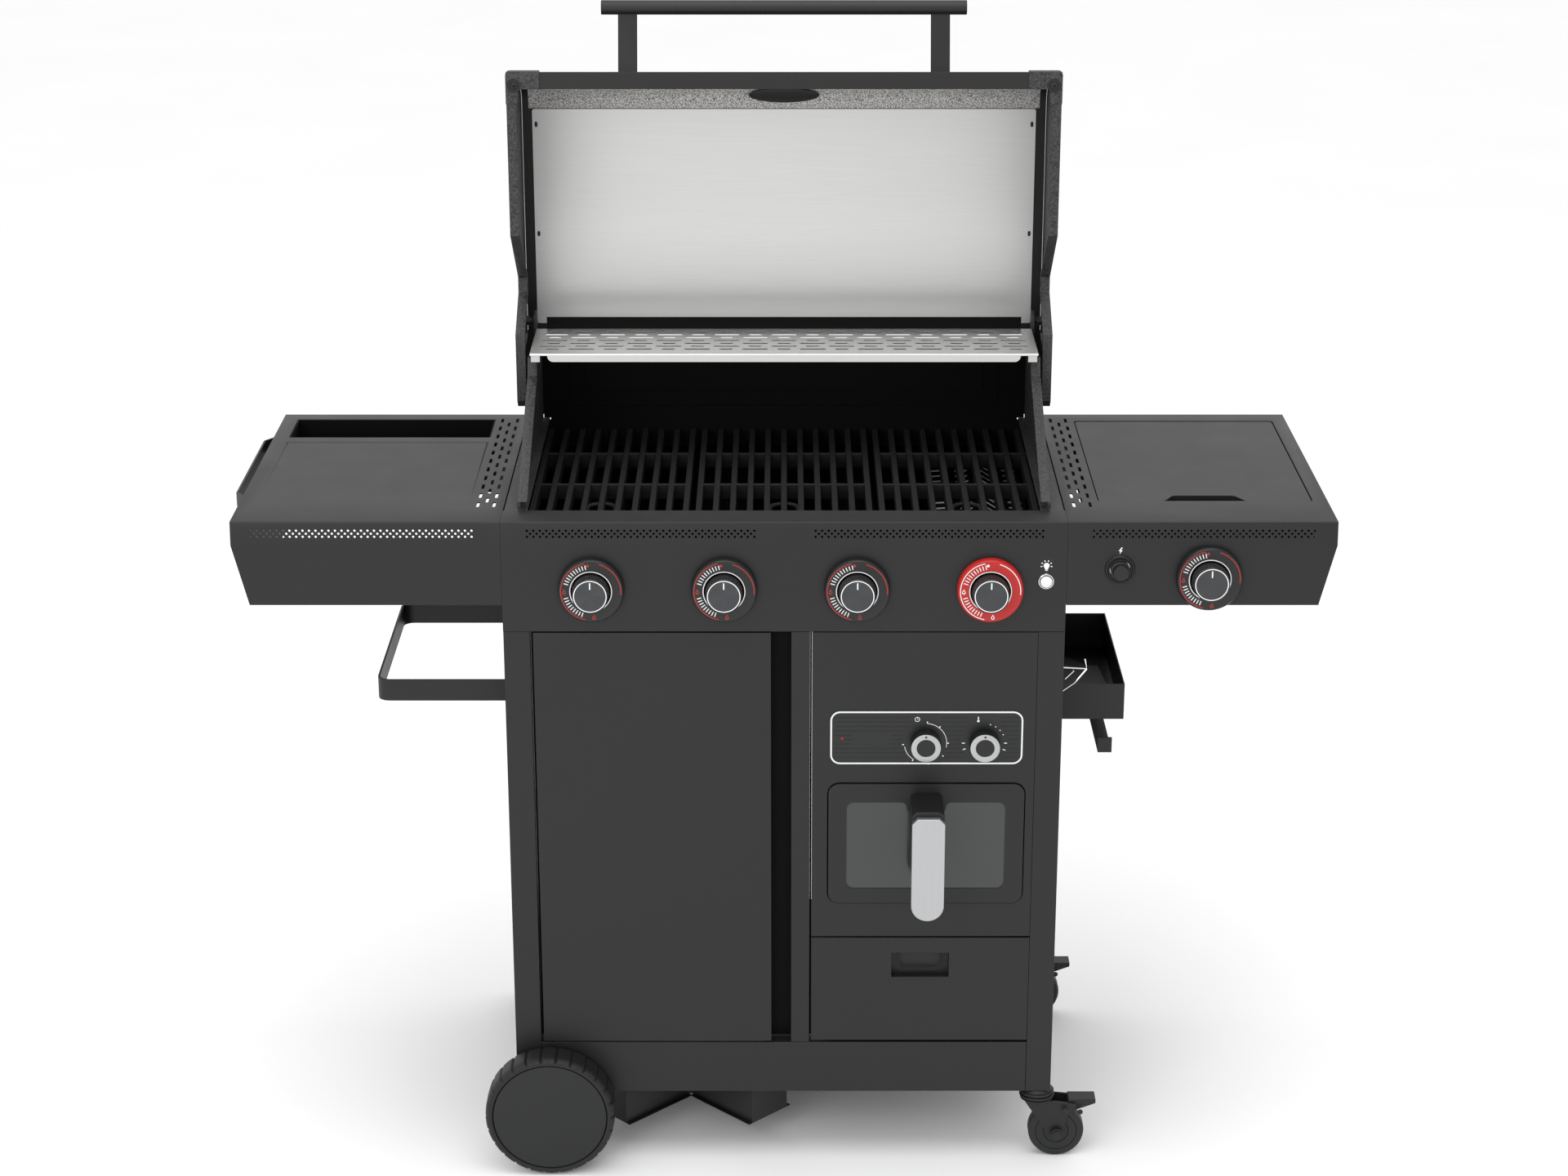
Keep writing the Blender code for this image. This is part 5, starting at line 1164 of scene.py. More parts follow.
class GRILL_OT_fryer(Maker, Operator):
    """Air fryer: its fascia, control plate and dials, and a drawer with a window and a handle"""

    bl_idname = "grill.fryer"
    bl_label = "Air fryer"

    def make(self, sizes):
        softened("fryer_fascia", "coat", 0.7 * MM)
        softened("fryer_housing", "aluminised", 0.4 * MM)
        softened("fryer_basket", "aluminised", 0.4 * MM)
        softened("fryer_drawer", "coat", 0.6 * MM)
        self.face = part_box("fryer_fascia")[0].y - FRONT
        dials = {}
        for name in ("timer_knob", "temperature_knob"):
            low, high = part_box(name)
            dials[name] = (low + high) / 2
            self.dial(name, facing(dials[name].x, dials[name].z, self.face))
        timer, heat = dials.values()
        at = facing(timer.x, timer.z, self.face)
        self.plate(at, heat.x - timer.x)
        self.marks(at, heat.x - timer.x)
        self.window()
        self.handle()

    def dial(self, name, at):
        """A black dial with a silver ring round its face and a dot at the top."""
        profile = [
            (0, -8 * MM), (4 * MM, -8 * MM), (4 * MM, 2.6 * MM), (19.4 * MM, 2.6 * MM),
            (19.8 * MM, 3.4 * MM), (19.8 * MM, 18.4 * MM), (19.2 * MM, 19.8 * MM),
            (18.8 * MM, 20 * MM), (12.4 * MM, 20 * MM), (12 * MM, 19.3 * MM), (0, 19.3 * MM),
        ]
        bm = turned(profile, 64, [0] * 6 + [1, 1, 1, 0])
        dot = prism(circle((0, 15.6 * MM), 1.5 * MM), 19.8 * MM, 20.15 * MM)
        add(bm, dot, shade=0)
        piece(
            f"{name}_detailed", bm, ["plastic", "satin"], name, at, stands_for=[name],
        )

    def plate(self, at, apart):
        """The plate in its silver border, with raised lines that stop short of the dials."""
        x, y = (-124.6 * MM, 127.2 * MM), (-29.5 * MM, 45 * MM)
        border, radius = 2.4 * MM, 13 * MM
        outer = rounded(x, y, radius)
        inner = rounded(
            (x[0] + border, x[1] - border), (y[0] + border, y[1] - border), radius - border
        )
        bm = cut_sheet([outer, inner], (), lambda u, v, depth: (u, v, 2.2 * MM - depth), 2.1 * MM)
        shafts = [circle((0, 0), 5 * MM), circle((apart, 0), 5 * MM)]
        face = cut_sheet(
            [inner] + shafts, (), lambda u, v, depth: (u, v, 1.2 * MM - depth), 1.1 * MM
        )
        add(bm, face, shade=1)
        middle = sum(y) / 2
        rows, pitch, half = 10, 6.2 * MM, 0.45 * MM
        for row in range(rows):
            height = middle + ((rows - 1) / 2 - row) * pitch
            for a, b in self.line_spans(row, height, apart, (x[0] + 6 * MM, x[1] - 6 * MM)):
                line = block((a, b), (height - half, height + half), (1.1 * MM, 1.7 * MM))
                add(bm, line, shade=1)
        lamp = [(0, 2.6 * MM), (1.2 * MM, 2.3 * MM), (2.0 * MM, 1.0 * MM)]
        add(bm, turned(lamp, 16), Matrix.Translation((-108.8 * MM, middle - 1.2 * MM, 0)), shade=2)
        piece(
            "fryer_control_plate", bm, ["chrome", "bezel", "lamp_red"], "frame", at,
            bevel=0.2 * MM,
        )

    def line_spans(self, row, height, apart, x):
        """Where one raised line runs: clear of both dials and of the blank beside the lamp."""
        reach = max(21 * MM, math.sqrt(max(0.0, (31 * MM) ** 2 - height**2)))
        spans = [(x[0], -reach), (reach, apart - reach), (apart + reach, x[1])]
        if row in (4, 5, 6):
            left = x[0] + (14 * MM if row == 5 else 0)
            spans[:1] = [(left, x[0] + 22 * MM), (-reach - 14 * MM, -reach)]
        return [(a, b) for a, b in spans if b - a > 2 * MM]

    def marks(self, at, apart):
        """Scales round the dials, a clock for the timer and a thermometer for the heat."""
        shapes = []
        for start_angle, end_angle in ((86, -12), (190, 236)):
            shapes.append([sector(27.4 * MM, 28.1 * MM, start_angle, end_angle, 24)])
        for turn in (86, 51, 0, -38, -82, 236, 184):
            shapes.append([sector(28.1 * MM, 30.6 * MM, turn - 1.2, turn + 1.2, 2)])
        clock = (-11 * MM, 33.5 * MM)
        shapes.append([circle(clock, 3.4 * MM, 20), circle(clock, 2.7 * MM, 20)])
        shapes.append([self.box_at(clock, (0, 0.9 * MM), (0.5 * MM, 2.2 * MM))])
        shapes.append([self.box_at(clock, (0.7 * MM, 0), (1.8 * MM, 0.5 * MM))])
        for turn in (74, 58, 42, 26):
            a = math.radians(turn)
            centre = (apart + 27 * MM * math.cos(a), 27 * MM * math.sin(a))
            shapes.append([circle(centre, 0.75 * MM, 10)])
        for turn in (0, 180, 198, -20):
            ring = sector(25.5 * MM, 29.5 * MM, turn - 1.2, turn + 1.2, 2)
            shapes.append([[(a + apart, b) for a, b in ring]])
        bulb = (apart - 8.5 * MM, 31.2 * MM)
        shapes.append([circle(bulb, 1.7 * MM, 14)])
        shapes.append([self.box_at(bulb, (0, 3.4 * MM), (1.3 * MM, 5.2 * MM))])
        raised = at @ Matrix.Translation((0, 0, 1.2 * MM))
        piece("fryer_marks", print_on(shapes), ["ink"], "frame", raised)

    def box_at(self, centre, offset, size):
        """The outline of an upright rectangle, at an offset from a sign's centre."""
        x, y = centre[0] + offset[0], centre[1] + offset[1]
        return [
            (x - size[0] / 2, y - size[1] / 2), (x + size[0] / 2, y - size[1] / 2),
            (x + size[0] / 2, y + size[1] / 2), (x - size[0] / 2, y + size[1] / 2),
        ]

    def window(self):
        """A frame on the drawer's front, round a pane that steps down beside the handle."""
        low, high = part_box("fryer_drawer")
        a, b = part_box("fryer_handle")
        middle = (a.x + b.x) / 2
        x = (low.x + 24 * MM, high.x - 24.6 * MM)
        z = (low.z + 21.6 * MM, high.z - 26 * MM)
        notch, step = 26 * MM, z[1] - 14 * MM
        seam = ((x[0] + x[1]) / 2, z[0])
        corners = [
            seam, (x[1], z[0]), (x[1], z[1]), (middle + notch, z[1]), (middle + notch, step),
            (middle - notch, step), (middle - notch, z[1]), (x[0], z[1]), (x[0], z[0]), seam,
        ]
        r = 10 * MM
        radii = [r, r, 7 * MM, 6 * MM, 6 * MM, 7 * MM, r, r]
        opening = [tuple(p) for p in bent_path(corners, radii, 6)][:-1]
        outer = rounded((low.x, high.x), (low.z, high.z), 14 * MM)
        at = Matrix.Translation((0, low.y, 0)) @ FACING
        face = cut_sheet([outer, opening], (), lambda u, v, depth: (u, v, 1.3 * MM - depth), 1.2 * MM)
        piece("fryer_drawer_face", face, ["coat"], "fryer_drawer", at)
        lap = 2 * MM
        pane = rounded((x[0] - lap, x[1] + lap), (z[0] - lap, z[1] + lap), r)
        glass = prism(pane, 0.05 * MM, 0.35 * MM)
        piece("fryer_window", glass, ["glass"], "fryer_drawer", at)

    def handle(self):
        """A black arm out from the drawer, and a silver grip that hangs from its end."""
        low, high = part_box("fryer_handle")
        middle = (low.x + high.x) / 2
        half = (high.x - low.x) / 2
        at = facing(middle, high.z, high.y - FRONT)
        reach = high.y - low.y
        arm = prism(rounded((-half, half), (-97 * MM, 0), 9 * MM), 0.0, reach - 9.3 * MM)
        bm = add(bmesh.new(), arm, shade=0)
        width, top, bottom = half, -6 * MM, low.z - high.z
        outline = (
            arc((0, bottom + width), width, 180, 360, 20)
            + arc((width - 4 * MM, top - 9 * MM), 4 * MM, 0, 40, 4)
            + [(width - 7 * MM, top), (-width + 7 * MM, top)]
            + arc((-width + 4 * MM, top - 9 * MM), 4 * MM, 140, 180, 4)
        )
        add(bm, prism(outline, reach - 9 * MM, reach), shade=1)
        piece(
            "fryer_handle_detailed", bm, ["plastic", "satin"], "fryer_drawer", at,
            stands_for=["fryer_handle"], bevel=1.3 * MM,
        )


class GRILL_OT_lower_drawer(Maker, Operator):
    """Lower drawer: a plain front with a recessed cup to pull it by"""

    bl_idname = "grill.lower_drawer"
    bl_label = "Lower drawer"

    def make(self, sizes):
        softened("lower_drawer", "coat", 0.6 * MM)
        low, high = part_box("lower_drawer")
        middle = (low.x + high.x) / 2
        top = high.z - 22 * MM
        bottom = top - 33 * MM
        lines = []
        for half, lift in ((30.5 * MM, 4.5 * MM), (28 * MM, 7 * MM)):
            foot = bottom + lift
            path = bent_path([
                (middle - half, top), (middle - half, foot), (middle + half, foot),
                (middle + half, top),
            ], 8 * MM, 6)
            lines.append([(p.x, low.y + 6.5 * MM, p.y) for p in path])
        bm = bmesh.new()
        for line in lines:
            add(bm, tube(line, 0.6 * MM, 6))
        piece("drawer_cup_lines", bm, ["coat"], "lower_drawer")


# ---- Lid ----


class GRILL_OT_lid(Maker, Operator):
    """Lid: shell and cast ends in black, a brushed liner, corner caps with screws, and a handle"""

    bl_idname = "grill.lid"
    bl_label = "Lid"

    def make(self, sizes):
        softened("lid_shell", "coat", 0.6 * MM)
        for side in ("left", "right"):
            softened(f"lid_end_{side}", "casting", 0.9 * MM)
        softened("lid_handle", "coat", 1.0 * MM)
        self.liner()
        self.band()
        for side in (-1, 1):
            self.corner_cap(side)

    def liner(self):
        """A brushed sheet over the shell's inner wall, with two slots along each of its sides."""
        low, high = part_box("lid_shell")
        side, thick = high.x - 13.7 * MM, 0.8 * MM
        z = (low.z + 15 * MM, high.z - 87 * MM)
        loops = [rounded((-side, side), z, 3 * MM)]
        for x in (-side + 5 * MM, side - 5 * MM):
            for height in (z[1] - 21 * MM, z[1] - 173 * MM):
                loops.append(slot_outline((x, height), 8 * MM, 4 * MM, upright=True))
        y = high.y - 2.6 * MM
        bm = cut_sheet(loops, (), lambda u, v, depth: (u, y + depth - thick, v), thick)
        piece("lid_liner", bm, ["liner"], "lid")

    def band(self):
        """Bare enamel between the liner and the rim, round the shell's inner corner, with a
        shallow dimple pressed in its middle, drawn as a dome in the dark coat as painted shade of the
        hollow."""
        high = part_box("lid_shell")[1]
        wall = high.y - 2.3 * MM
        half = high.x - 9 * MM
        foot, bend = high.z - 86 * MM, high.z - 59.8 * MM
        front = wall - 70 * MM
        line = bent_path([(wall, foot), (wall, bend), (front, bend + 19.9 * MM)], 26 * MM, 8)
        middle = Vector((front, foot))
        inner = [p + (middle - p).normalized() * 0.6 * MM for p in map(Vector, line)]
        outline = list(line) + inner[::-1]
        bm = bmesh.new()
        ends = [[bm.verts.new((x, p[0], p[1])) for p in outline] for x in (-half, half)]
        for i in range(len(outline)):
            j = (i + 1) % len(outline)
            bm.faces.new((ends[0][i], ends[0][j], ends[1][j], ends[1][i]))
        for end in ends:
            bm.faces.new(end)
        piece("lid_band", bm, ["enamel"], "lid")
        dome = bmesh.new()
        bmesh.ops.create_uvsphere(dome, u_segments=48, v_segments=24, radius=1)
        size = Matrix.Diagonal((48 * MM, 4 * MM, 14 * MM, 1))
        bmesh.ops.transform(dome, matrix=size, verts=dome.verts)
        spot = Matrix.Translation((0, high.y - 11.3 * MM, high.z - 66.6 * MM))
        lean = Matrix.Rotation(math.radians(37), 4, "X")
        # Painted shade: the dimple's darker coat stands for the shade in the pressed hollow.
        piece("lid_dimple", dome, ["coat"], "lid", spot @ lean)

    def corner_cap(self, side):
        """A cast cap over a top corner of the rim, held by a ringed cross-head screw."""
        low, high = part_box("lid_shell")
        outer = 360.5 * MM
        inner = outer - 44 * MM
        leg = outer - 15.6 * MM
        top, band, foot = high.z + 0.6 * MM, high.z - 22.5 * MM, high.z - 42 * MM
        corners = [
            (inner, (top + band) / 2), (inner, top), (outer, top), (outer, foot), (leg, foot),
            (leg, band), (inner, band), (inner, (top + band) / 2),
        ]
        radii = [0.5 * MM, 5 * MM, 0.5 * MM, 4 * MM, 0.5 * MM, 0.5 * MM]
        outline = [(side * p.x, p.y) for p in bent_path(corners, radii, 5)][:-1]
        at = Matrix.Translation((0, low.y, 0)) @ FACING
        bm = prism(outline, -9 * MM, 1.4 * MM)
        name = "left" if side < 0 else "right"
        piece(f"lid_cap_{name}", bm, ["casting"], "lid", at, bevel=0.7 * MM)
        x = side * (outer - 11 * MM)
        z = top - 18.5 * MM
        ring = [
            (0, 1.45 * MM), (4.6 * MM, 1.45 * MM), (5.0 * MM, 2.1 * MM), (5.6 * MM, 2.1 * MM),
            (6 * MM, 1.5 * MM), (8 * MM, 1.5 * MM), (8.3 * MM, 2.0 * MM), (8.9 * MM, 2.0 * MM),
            (9.2 * MM, 1.2 * MM),
        ]
        bm = add(bmesh.new(), turned(ring, 32), shade=0)
        cross = screw(3.8 * MM, 1.2 * MM)
        add(bm, cross, Matrix.Translation((0, 0, 1.45 * MM)))
        place = Matrix.Translation((x, low.y, z)) @ FACING
        piece(f"lid_cap_screw_{name}", bm, ["coat", "coat_dark_and_painted_shade"], "lid", place)


# ---- Cooking chamber ----


class GRILL_OT_warming_rack(Maker, Operator):
    """Warming rack: a stainless plate with rows of long and short slots, a lip, and an upstand in matt
    black as a painted dark reflection
    """

    bl_idname = "grill.warming_rack"
    bl_label = "Warming rack"

    def make(self, sizes):
        low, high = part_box("warming_rack")
        plate = 1.075
        lip = 11.4 * MM
        half = (high.x - low.x) / 2
        path = Section(bent_path([
            (low.y, plate - lip), (low.y, plate), (high.y, plate), (high.y, high.z - 6 * MM),
        ], 2.2 * MM))
        level = path.find(0, low.y + 6 * MM, path.find(1, plate - 3 * MM))
        front = path.find(1, plate - 3 * MM)
        rear = path.find(0, high.y - 2.3 * MM, level)
        narrow, tall = half - 23.4 * MM, half - 14 * MM
        outline = (
            arc((narrow - 8 * MM, 8 * MM), 8 * MM, -90, 0)
            + [(narrow, front), (half, front), (half, rear), (tall, rear), (tall, path.length)]
            + [(-tall, path.length), (-tall, rear), (-half, rear), (-half, front), (-narrow, front)]
            + arc((-narrow + 8 * MM, 8 * MM), 8 * MM, 180, 270)
        )
        loops = [outline] + self.slots(path, level, low.y, half)

        def place(across, along, depth):
            point = path.at(along, depth)
            return across, point.x, point.y

        # Painted reflection: the upstand and its bend are matt black, standing for dark surroundings
        # reflected in the polished steel.
        def shade(across, along):
            return 1 if along > rear else 0

        bm = cut_sheet(loops, path.stations[1:-1], place, 0.8 * MM, shade=shade)
        for side in (-1, 1):
            x = sorted((side * (half - 1.2 * MM), side * (half - 13 * MM)))
            for y in (low.y + 4 * MM, high.y - 12 * MM):
                add(bm, block(x, (y, y + 8 * MM), (low.z, plate - 1.1 * MM)), shade=0)
        piece(
            "warming_rack_sheet", bm, ["stainless", "coat_dark_and_painted_shade"], "warming_rack",
            stands_for=["warming_rack"],
        )

    def slots(self, path, level, front, half):
        period = 77.6 * MM
        loops = []
        for row in range(7):
            along = path.find(0, front + 24 * MM + row * 14.9 * MM, level)
            for i in range(-9, 10):
                x = i * period / 2
                length = 36 * MM if (i + row) % 2 else 19 * MM
                if abs(x) + length / 2 > half - 10 * MM:
                    continue
                loops.append(slot_outline((x, along), length, 6 * MM))
        return loops


class GRILL_OT_firebox(Maker, Operator):
    """Firebox: enamelled tub between two cast ends, with ribs pressed in its rear wall"""

    bl_idname = "grill.firebox"
    bl_label = "Firebox"

    def make(self, sizes):
        softened("firebox_tub", "coat_dark_and_painted_shade", 0.5 * MM)
        for side in ("left", "right"):
            softened(f"firebox_end_{side}", "casting", 0.9 * MM)
        softened("grease_tray", "aluminised", 0.4 * MM)
        self.rear_ribs()
        self.rear_seams()

    def rear_seams(self):
        """Folded strips that close the joints between the tub's rear wall and the cast ends, and
        stand out behind the lid's ends. The closing lid's tails pass in front of them."""
        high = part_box("firebox_tub")[1]
        inner, web, strip, guard = 336 * MM, 342.5 * MM, 344 * MM, 367 * MM  # from the middle
        back, rear = high.y + 1.5 * MM, high.y + 18 * MM
        z = (TOP + 30 * MM, TOP + 122 * MM)
        bm = bmesh.new()
        for side in (-1, 1):
            x = sorted((side * inner, side * strip))
            add(bm, block(x, (high.y + 0.3 * MM, back), (TOP + 4 * MM, high.z - 5 * MM)))
            add(bm, block(sorted((side * web, side * strip)), (back, rear), z))
            add(bm, block(sorted((side * web, side * guard)), (rear - 1.5 * MM, rear), z))
        piece("rear_wall_seams", bm, ["coat_dark_and_painted_shade"], "frame")

    def rear_ribs(self):
        """A rib down both sides of the wall and along its foot, and a long ring inside it."""
        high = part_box("firebox_tub")[1]
        y, radius = high.y - 2.0 * MM, 0.9 * MM
        side, foot, top = 0.302, 0.9385, high.z - 14 * MM
        outer = bent_path([(-side, top), (-side, foot), (side, foot), (side, top)], 10 * MM, 6)
        inner = rounded((-0.281, 0.281), (0.9605, 1.004), 9 * MM, 5)
        bm = tube([(p.x, y, p.y) for p in outer], radius, 6)
        add(bm, tube([(a, y, b) for a, b in inner], radius, 6, closed=True))
        piece("rear_wall_ribs", bm, ["coat_dark_and_painted_shade"], "frame")


class GRILL_OT_burners(Maker, Operator):
    """Main burners under their tents: slanted slots of painted light in the right-hand tent, and
    painted shade for holes in the others
    """

    bl_idname = "grill.burners"
    bl_label = "Burners"

    def make(self, sizes):
        softened("burner_assembly", "burner", 0.4 * MM)
        softened("heat_tents", "tent", 0.5 * MM)
        low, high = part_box("heat_tents")
        columns = [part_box(f"burner_knob_{i}") for i in (1, 2, 3, 4)]
        columns = [(ends[0].x + ends[1].x) / 2 for ends in columns]
        self.bright_slots(columns[-1], low, high)
        self.tent_holes(columns[:-1], low, high)
        self.clips(columns, high.y)

    def bright_slots(self, middle, low, high):
        """Slanted slots in the right-hand tent and its flanges. The light that comes up through
        them is drawn as a bright face."""
        half, rise = 32 * MM, high.z - low.z - 4 * MM
        slope = math.atan2(rise, half)
        lights, flanges = bmesh.new(), bmesh.new()
        for side in (-1, 1):
            x = sorted((middle + side * 34 * MM, middle + side * 64.5 * MM))
            z = low.z + 9 * MM
            y = (low.y + 12 * MM, high.y - 14 * MM)
            add(flanges, block(x, y, (z - 1 * MM, z)))
            for across in (17 * MM, 50 * MM):
                on_slope = across < half
                height = high.z - rise * across / half + 0.6 * MM if on_slope else z
                tilt = Matrix.Rotation(side * slope if on_slope else 0, 4, "Y")
                slant = Matrix.Rotation(math.radians(-12 * side), 4, "Z")
                along = y[0] + 14 * MM
                while along < y[1] - 10 * MM:
                    spot = Matrix.Translation((middle + side * across, along, height))
                    slot = prism(slot_outline((0, 0), 19 * MM, 5 * MM), 0, 0.5 * MM)
                    add(lights, slot, spot @ tilt @ slant)
                    along += 24 * MM
        # Painted light: the slots wear the white lamp-lens finish, though nothing here is a lamp.
        piece("tent_slots", lights, ["lamp"], "frame")
        piece("tent_flanges", flanges, ["tent"], "frame")

    def tent_holes(self, columns, low, high):
        """Painted shade: dark discs along the slopes of the other tents stand for their round holes.
        """
        slope = math.atan2(high.z - low.z - 2 * MM, 32 * MM)
        bm = bmesh.new()
        for middle in columns:
            for side in (-1, 1):
                along = low.y + 45 * MM
                while along < high.y - 40 * MM:
                    spot = Vector((middle + side * 17 * MM, along, (low.z + high.z) / 2 + 2.4 * MM))
                    at = Matrix.Translation(spot) @ Matrix.Rotation(side * slope, 4, "Y")
                    add(bm, turned([(0, 0.3 * MM), (2.2 * MM, 0.3 * MM), (2.2 * MM, 0)], 12), at)
                    along += 62 * MM
        piece("tent_holes", bm, ["coat_dark_and_painted_shade"], "frame")

    def clips(self, columns, rear):
        """Bright spring clips that hold the burners' rear ends."""
        bm = bmesh.new()
        for middle in columns:
            x = (middle - 7 * MM, middle + 7 * MM)
            add(bm, block(x, (rear + 3 * MM, rear + 9 * MM), (0.858, 0.870)))
        piece("burner_clips", bm, ["stainless"], "frame", bevel=1.0 * MM)


class GRILL_OT_grates(Maker, Operator):
    """Cooking grates: cast iron bars, each grate with a loop to lift it by"""

    bl_idname = "grill.grates"
    bl_label = "Grates"

    def make(self, sizes):
        for name in ("grate_left", "grate_middle", "grate_right"):
            softened(name, "iron", 1.1 * MM)
            low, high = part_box(name)
            middle = (low.x + high.x) / 2
            centre_y, z = low.y + 66 * MM, high.z - 7 * MM
            loop = arc((middle, centre_y), 19 * MM, 0, 180, 18)
            points = [(middle + 19 * MM, low.y + 12 * MM, z)] + [(a, b, z) for a, b in loop]
            points.append((middle - 19 * MM, low.y + 12 * MM, z))
            piece(f"{name}_loop", tube(points, 3.2 * MM, 10), ["iron"], name)


# ---- Side fittings ----


class GRILL_OT_side_fittings(Maker, Operator):
    """Bag holder on the left and caddy with a hook and a bottle opener on the right"""

    bl_idname = "grill.side_fittings"
    bl_label = "Side fittings"

    def make(self, sizes):
        softened("bag_holder", "coat", 0.6 * MM)
        softened("side_caddy", "coat", 0.7 * MM)
        self.opener()

    def opener(self):
        """Bent chromed wire on the front right leg."""
        leg_low, leg_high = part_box("leg_front_right")
        x, y = leg_high.x, leg_low.y + 31 * MM
        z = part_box("side_caddy")[1].z + 50 * MM
        upper = [
            (x - 1 * MM, y, z), (x + 33 * MM, y - 1 * MM, z - 1.5 * MM),
            (x + 31 * MM, y + 6 * MM, z + 9 * MM),
        ]
        lower = [
            (x + 33 * MM, y - 1 * MM, z - 2 * MM), (x + 18 * MM, y - 3 * MM, z - 20 * MM),
            (x - 1 * MM, y - 3 * MM, z - 34 * MM),
        ]
        bar = [(x + 5 * MM, y, z - 16 * MM), (x + 16 * MM, y, z - 5 * MM)]
        bm = tube(upper, 1.2 * MM, 8)
        add(bm, tube(lower, 1.2 * MM, 8))
        add(bm, tube(bar, 1.4 * MM, 8))
        piece("bottle_opener", bm, ["chrome"], "frame")


# ---- Wheels ----


class GRILL_OT_wheels(Maker, Operator):
    """Wheels: two big ones with moulded treads, and two braked casters"""

    bl_idname = "grill.wheels"
    bl_label = "Wheels"

    def make(self, sizes):
        for end in ("front", "rear"):
            self.big_wheel(f"wheel_{end}", sizes.tread_count)
            self.caster(end)

    def big_wheel(self, name, blocks):
        """A tyre with grooved blocks round a dished hub, and a pip and two arches on each block."""
        low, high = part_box(name)
        centre = (low + high) / 2
        r = (high.z - low.z) / 2
        half = (high.y - low.y) / 2
        profile = [
            (0, half - 2 * MM), (r - 11.5 * MM, half - 2 * MM), (r - 11 * MM, half - 2.6 * MM),
            (r - 10.6 * MM, half - 4.5 * MM), (r - 10.0 * MM, half - 2.6 * MM),
            (r - 9.4 * MM, half - 1.2 * MM), (r - 5 * MM, half - 0.3 * MM),
            (r - 3 * MM, half - 1.4 * MM), (r - 1.6 * MM, half - 4.2 * MM),
            (r - 0.3 * MM, half - 6.5 * MM), (r, half - 12 * MM), (r, -half + 12 * MM),
            (r - 0.3 * MM, -half + 6.5 * MM), (r - 1.6 * MM, -half + 4.2 * MM),
            (r - 3 * MM, -half + 1.4 * MM), (r - 5 * MM, -half + 0.3 * MM),
            (r - 22 * MM, -half + 1 * MM), (r - 24 * MM, -half + 9 * MM), (22 * MM, -half + 9 * MM),
            (20 * MM, -half + 0.3 * MM), (0, -half + 0.3 * MM),
        ]
        shades = [1, 1] + [0] * 18
        steps = 8
        tread = range(7, 15)  # the profile's points that a groove cuts into
        groove = 2.6 * MM

        def pull(point, step):
            return groove if point in tread and step % steps == 0 else 0.0

        bm = turned(profile, blocks * steps, shades, pull)
        pip = [(0, 0.6 * MM), (0.8 * MM, 0.4 * MM), (1.1 * MM, -0.4 * MM)]
        arch = [
            (0, 4.5 * MM, -4 * MM), (0.3 * MM, 3 * MM, 2 * MM), (0.4 * MM, 0, 4 * MM),
            (0.3 * MM, -3 * MM, 2 * MM), (0, -4.5 * MM, -4 * MM),
        ]
        for i in range(blocks):
            turn = Matrix.Rotation(math.tau * (i + 0.5) / blocks, 4, "Z")
            spot = turn @ Matrix.Translation((r - 4.3 * MM, 0, half - 0.6 * MM))
            add(bm, turned(pip, 8), spot, 0)
            for end in (-1, 1):
                grip = turn @ Matrix.Translation((r - 1.7 * MM, 0, end * 9 * MM))
                add(bm, tube(arch, 0.9 * MM, 6), grip, 0)
        at = Matrix.Translation(centre) @ FACING
        piece(
            f"{name}_detailed", bm, ["tyre", "hub"], name, at, stands_for=[name],
            angle=40,
        )

    def caster(self, end):
        """A grooved wheel, and the races, rivets and bolt of its fork."""
        name = f"caster_wheel_{end}"
        low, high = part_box(name)
        centre = (low + high) / 2
        r = (high.z - low.z) / 2
        half = (high.y - low.y) / 2
        face = [(4.5 * MM, half)]
        lip = 0.5 * MM
        for groove in (17 * MM, 28 * MM):
            face += [(groove - lip, half), (groove, half - 0.9 * MM), (groove + lip, half)]
        face += [(r - 3 * MM, half), (r - 0.8 * MM, half - 1.4 * MM), (r, half - 4 * MM)]
        profile = face + [(a, -b) for a, b in reversed(face)] + face[:1]
        at = Matrix.Translation(centre) @ FACING
        piece(
            f"{name}_detailed", turned(profile, 72), ["hub"], name, at, stands_for=[name],
        )
        fork = f"caster_fork_{end}"
        softened(fork, "coat", 0.6 * MM)
        softened(f"caster_pedal_{end}", "coat", 0.6 * MM)
        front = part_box(fork)[0].y
        axle = Matrix.Translation((centre.x, front - 0.1 * MM, centre.z)) @ FACING
        hex_head = [(0, 3.2 * MM), (5.2 * MM, 3.2 * MM), (6 * MM, 2.6 * MM), (6 * MM, 0)]
        washer = [(0, 0.8 * MM), (8.2 * MM, 0.8 * MM), (8.6 * MM, 0)]
        rivet = [(0, 2.2 * MM), (2.4 * MM, 1.8 * MM), (3.8 * MM, 0.6 * MM), (4 * MM, 0)]
        bm = turned(hex_head, 6)
        add(bm, turned(washer, 32))
        bmesh.ops.transform(bm, matrix=axle, verts=bm.verts)
        for x, z in ((10.6 * MM, 36 * MM), (31 * MM, 35 * MM)):
            place = Matrix.Translation((centre.x + x, front, centre.z + z)) @ FACING
            add(bm, turned(rivet, 20), place)
        piece(f"caster_bolts_{end}", bm, ["coat"], fork, angle=20)
        self.races(end, fork)

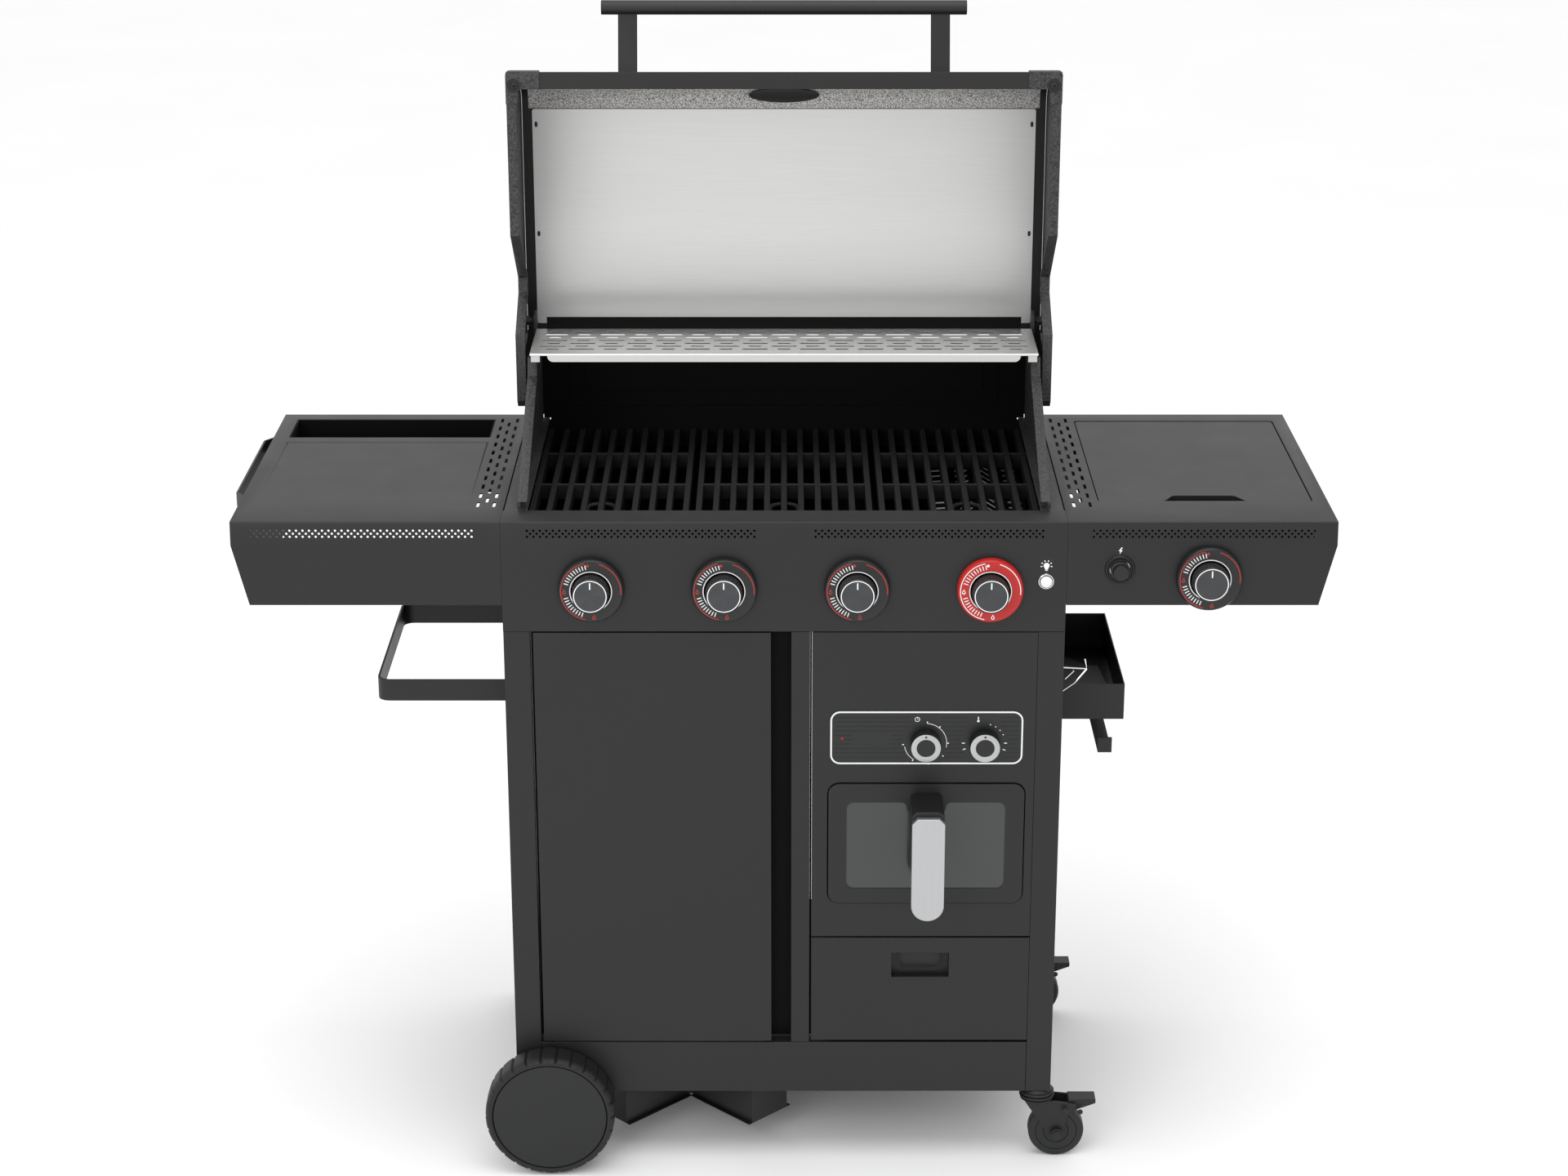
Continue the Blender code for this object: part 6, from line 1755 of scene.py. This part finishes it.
    def races(self, end, fork):
        """Three rings round the swivel: each has its height, its radius and its thickness."""
        low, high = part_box(fork)
        at = Matrix.Translation((low.x + 21 * MM, (low.y + high.y) / 2, 0))
        bm = bmesh.new()
        for z, radius, thick in ((0.0965, 23.4, 3.4), (0.0915, 24.0, 3.0), (0.087, 22.6, 3.0)):
            h = thick * MM
            inner, shoulder, outer = (radius - 4) * MM, (radius - 1) * MM, radius * MM
            ring = [
                (inner, z - h / 2), (shoulder, z - h / 2), (outer, z - h / 4), (outer, z + h / 4),
                (shoulder, z + h / 2), (inner, z + h / 2), (inner, z - h / 2),
            ]
            add(bm, turned(ring, 40))
        piece(f"caster_races_{end}", bm, ["coat"], fork, at)


# ---- Stage ----


class GRILL_OT_stage(Operator):
    """Pale floor, white studio light from all round, and a camera in front from a little above"""

    bl_idname = "grill.stage"
    bl_label = "Stage"
    bl_options = {"REGISTER", "UNDO"}

    def execute(self, context):
        scene = context.scene
        self.floor()
        self.light(scene)
        camera = bpy.data.objects.new("camera", bpy.data.cameras.new("camera"))
        camera.data.lens = 72.3
        camera.location = (0, -4.023, 2.1883)
        camera.rotation_euler = (math.radians(70.4), 0, 0)
        scene.collection.objects.link(camera)
        scene.camera = camera
        scene.view_settings.view_transform = "Standard"
        return {"FINISHED"}

    def floor(self):
        material, tree, shader = start("pale studio floor", linear("#FFFFFF"), 0.9)
        cloud = grain(tree, 0.5, 2.0)
        vary(tree, shader, linear("#FCFCFC"), cloud.outputs["Fac"], 1.02, 0.98, (0.85, 0.95))
        mesh = bpy.data.meshes.new("floor")
        half = 12.0
        corners = [(-half, -half, 0), (half, -half, 0), (half, half, 0), (-half, half, 0)]
        mesh.from_pydata(corners, [], [(0, 1, 2, 3)])
        mesh.materials.append(material)
        floor = bpy.data.objects.new("floor", mesh)
        bpy.context.scene.collection.objects.link(floor)

    def light(self, scene):
        world = bpy.data.worlds.new("white studio")
        world.use_nodes = True
        background = world.node_tree.nodes["Background"]
        background.inputs["Color"].default_value = (1, 1, 1, 1)
        background.inputs["Strength"].default_value = 1.0
        scene.world = world
        for name, place, size, power in (
            ("top softbox", (0.0, -0.6, 3.4), 2.6, 40),
            ("front softbox", (-1.6, -3.6, 2.4), 1.8, 32),
        ):
            lamp = bpy.data.lights.new(name, "AREA")
            lamp.size = size
            lamp.energy = power
            obj = bpy.data.objects.new(name, lamp)
            obj.location = place
            aim = Vector((0, 0, 0.8)) - Vector(place)
            obj.rotation_euler = aim.to_track_quat("-Z", "Y").to_euler()
            scene.collection.objects.link(obj)


# ---- Add-on ----


MAKERS = (
    GRILL_OT_cabinet, GRILL_OT_control_panel, GRILL_OT_knobs, GRILL_OT_buttons, GRILL_OT_shelves,
    GRILL_OT_side_burner, GRILL_OT_fryer, GRILL_OT_lower_drawer, GRILL_OT_lid,
    GRILL_OT_warming_rack, GRILL_OT_firebox, GRILL_OT_burners, GRILL_OT_grates,
    GRILL_OT_side_fittings, GRILL_OT_wheels, GRILL_OT_stage,
)


class GRILL_PT_panel(Panel):
    """The grill's settings and the operators that make it, in the order that they run"""

    bl_idname = "GRILL_PT_panel"
    bl_label = "Gas barbecue grill"
    bl_space_type = "VIEW_3D"
    bl_region_type = "UI"
    bl_category = "Grill"

    def draw(self, context):
        for group in (context.scene.grill_sizes, context.scene.grill_colours):
            box = self.layout.box()
            for name in group.bl_rna.properties.keys():
                if name not in {"rna_type", "name"}:
                    box.prop(group, name)
        for maker in MAKERS:
            self.layout.operator(maker.bl_idname)


CLASSES = (GrillSizes, GrillColours, *MAKERS, GRILL_PT_panel)


def register():
    for cls in CLASSES:
        bpy.utils.register_class(cls)
    bpy.types.Scene.grill_sizes = PointerProperty(type=GrillSizes)
    bpy.types.Scene.grill_colours = PointerProperty(type=GrillColours)


def unregister():
    del bpy.types.Scene.grill_colours
    del bpy.types.Scene.grill_sizes
    for cls in reversed(CLASSES):
        bpy.utils.unregister_class(cls)


def main():
    register()
    for maker in MAKERS:
        group, name = maker.bl_idname.split(".")
        getattr(getattr(bpy.ops, group), name)()


if __name__ == "__main__":
    main()
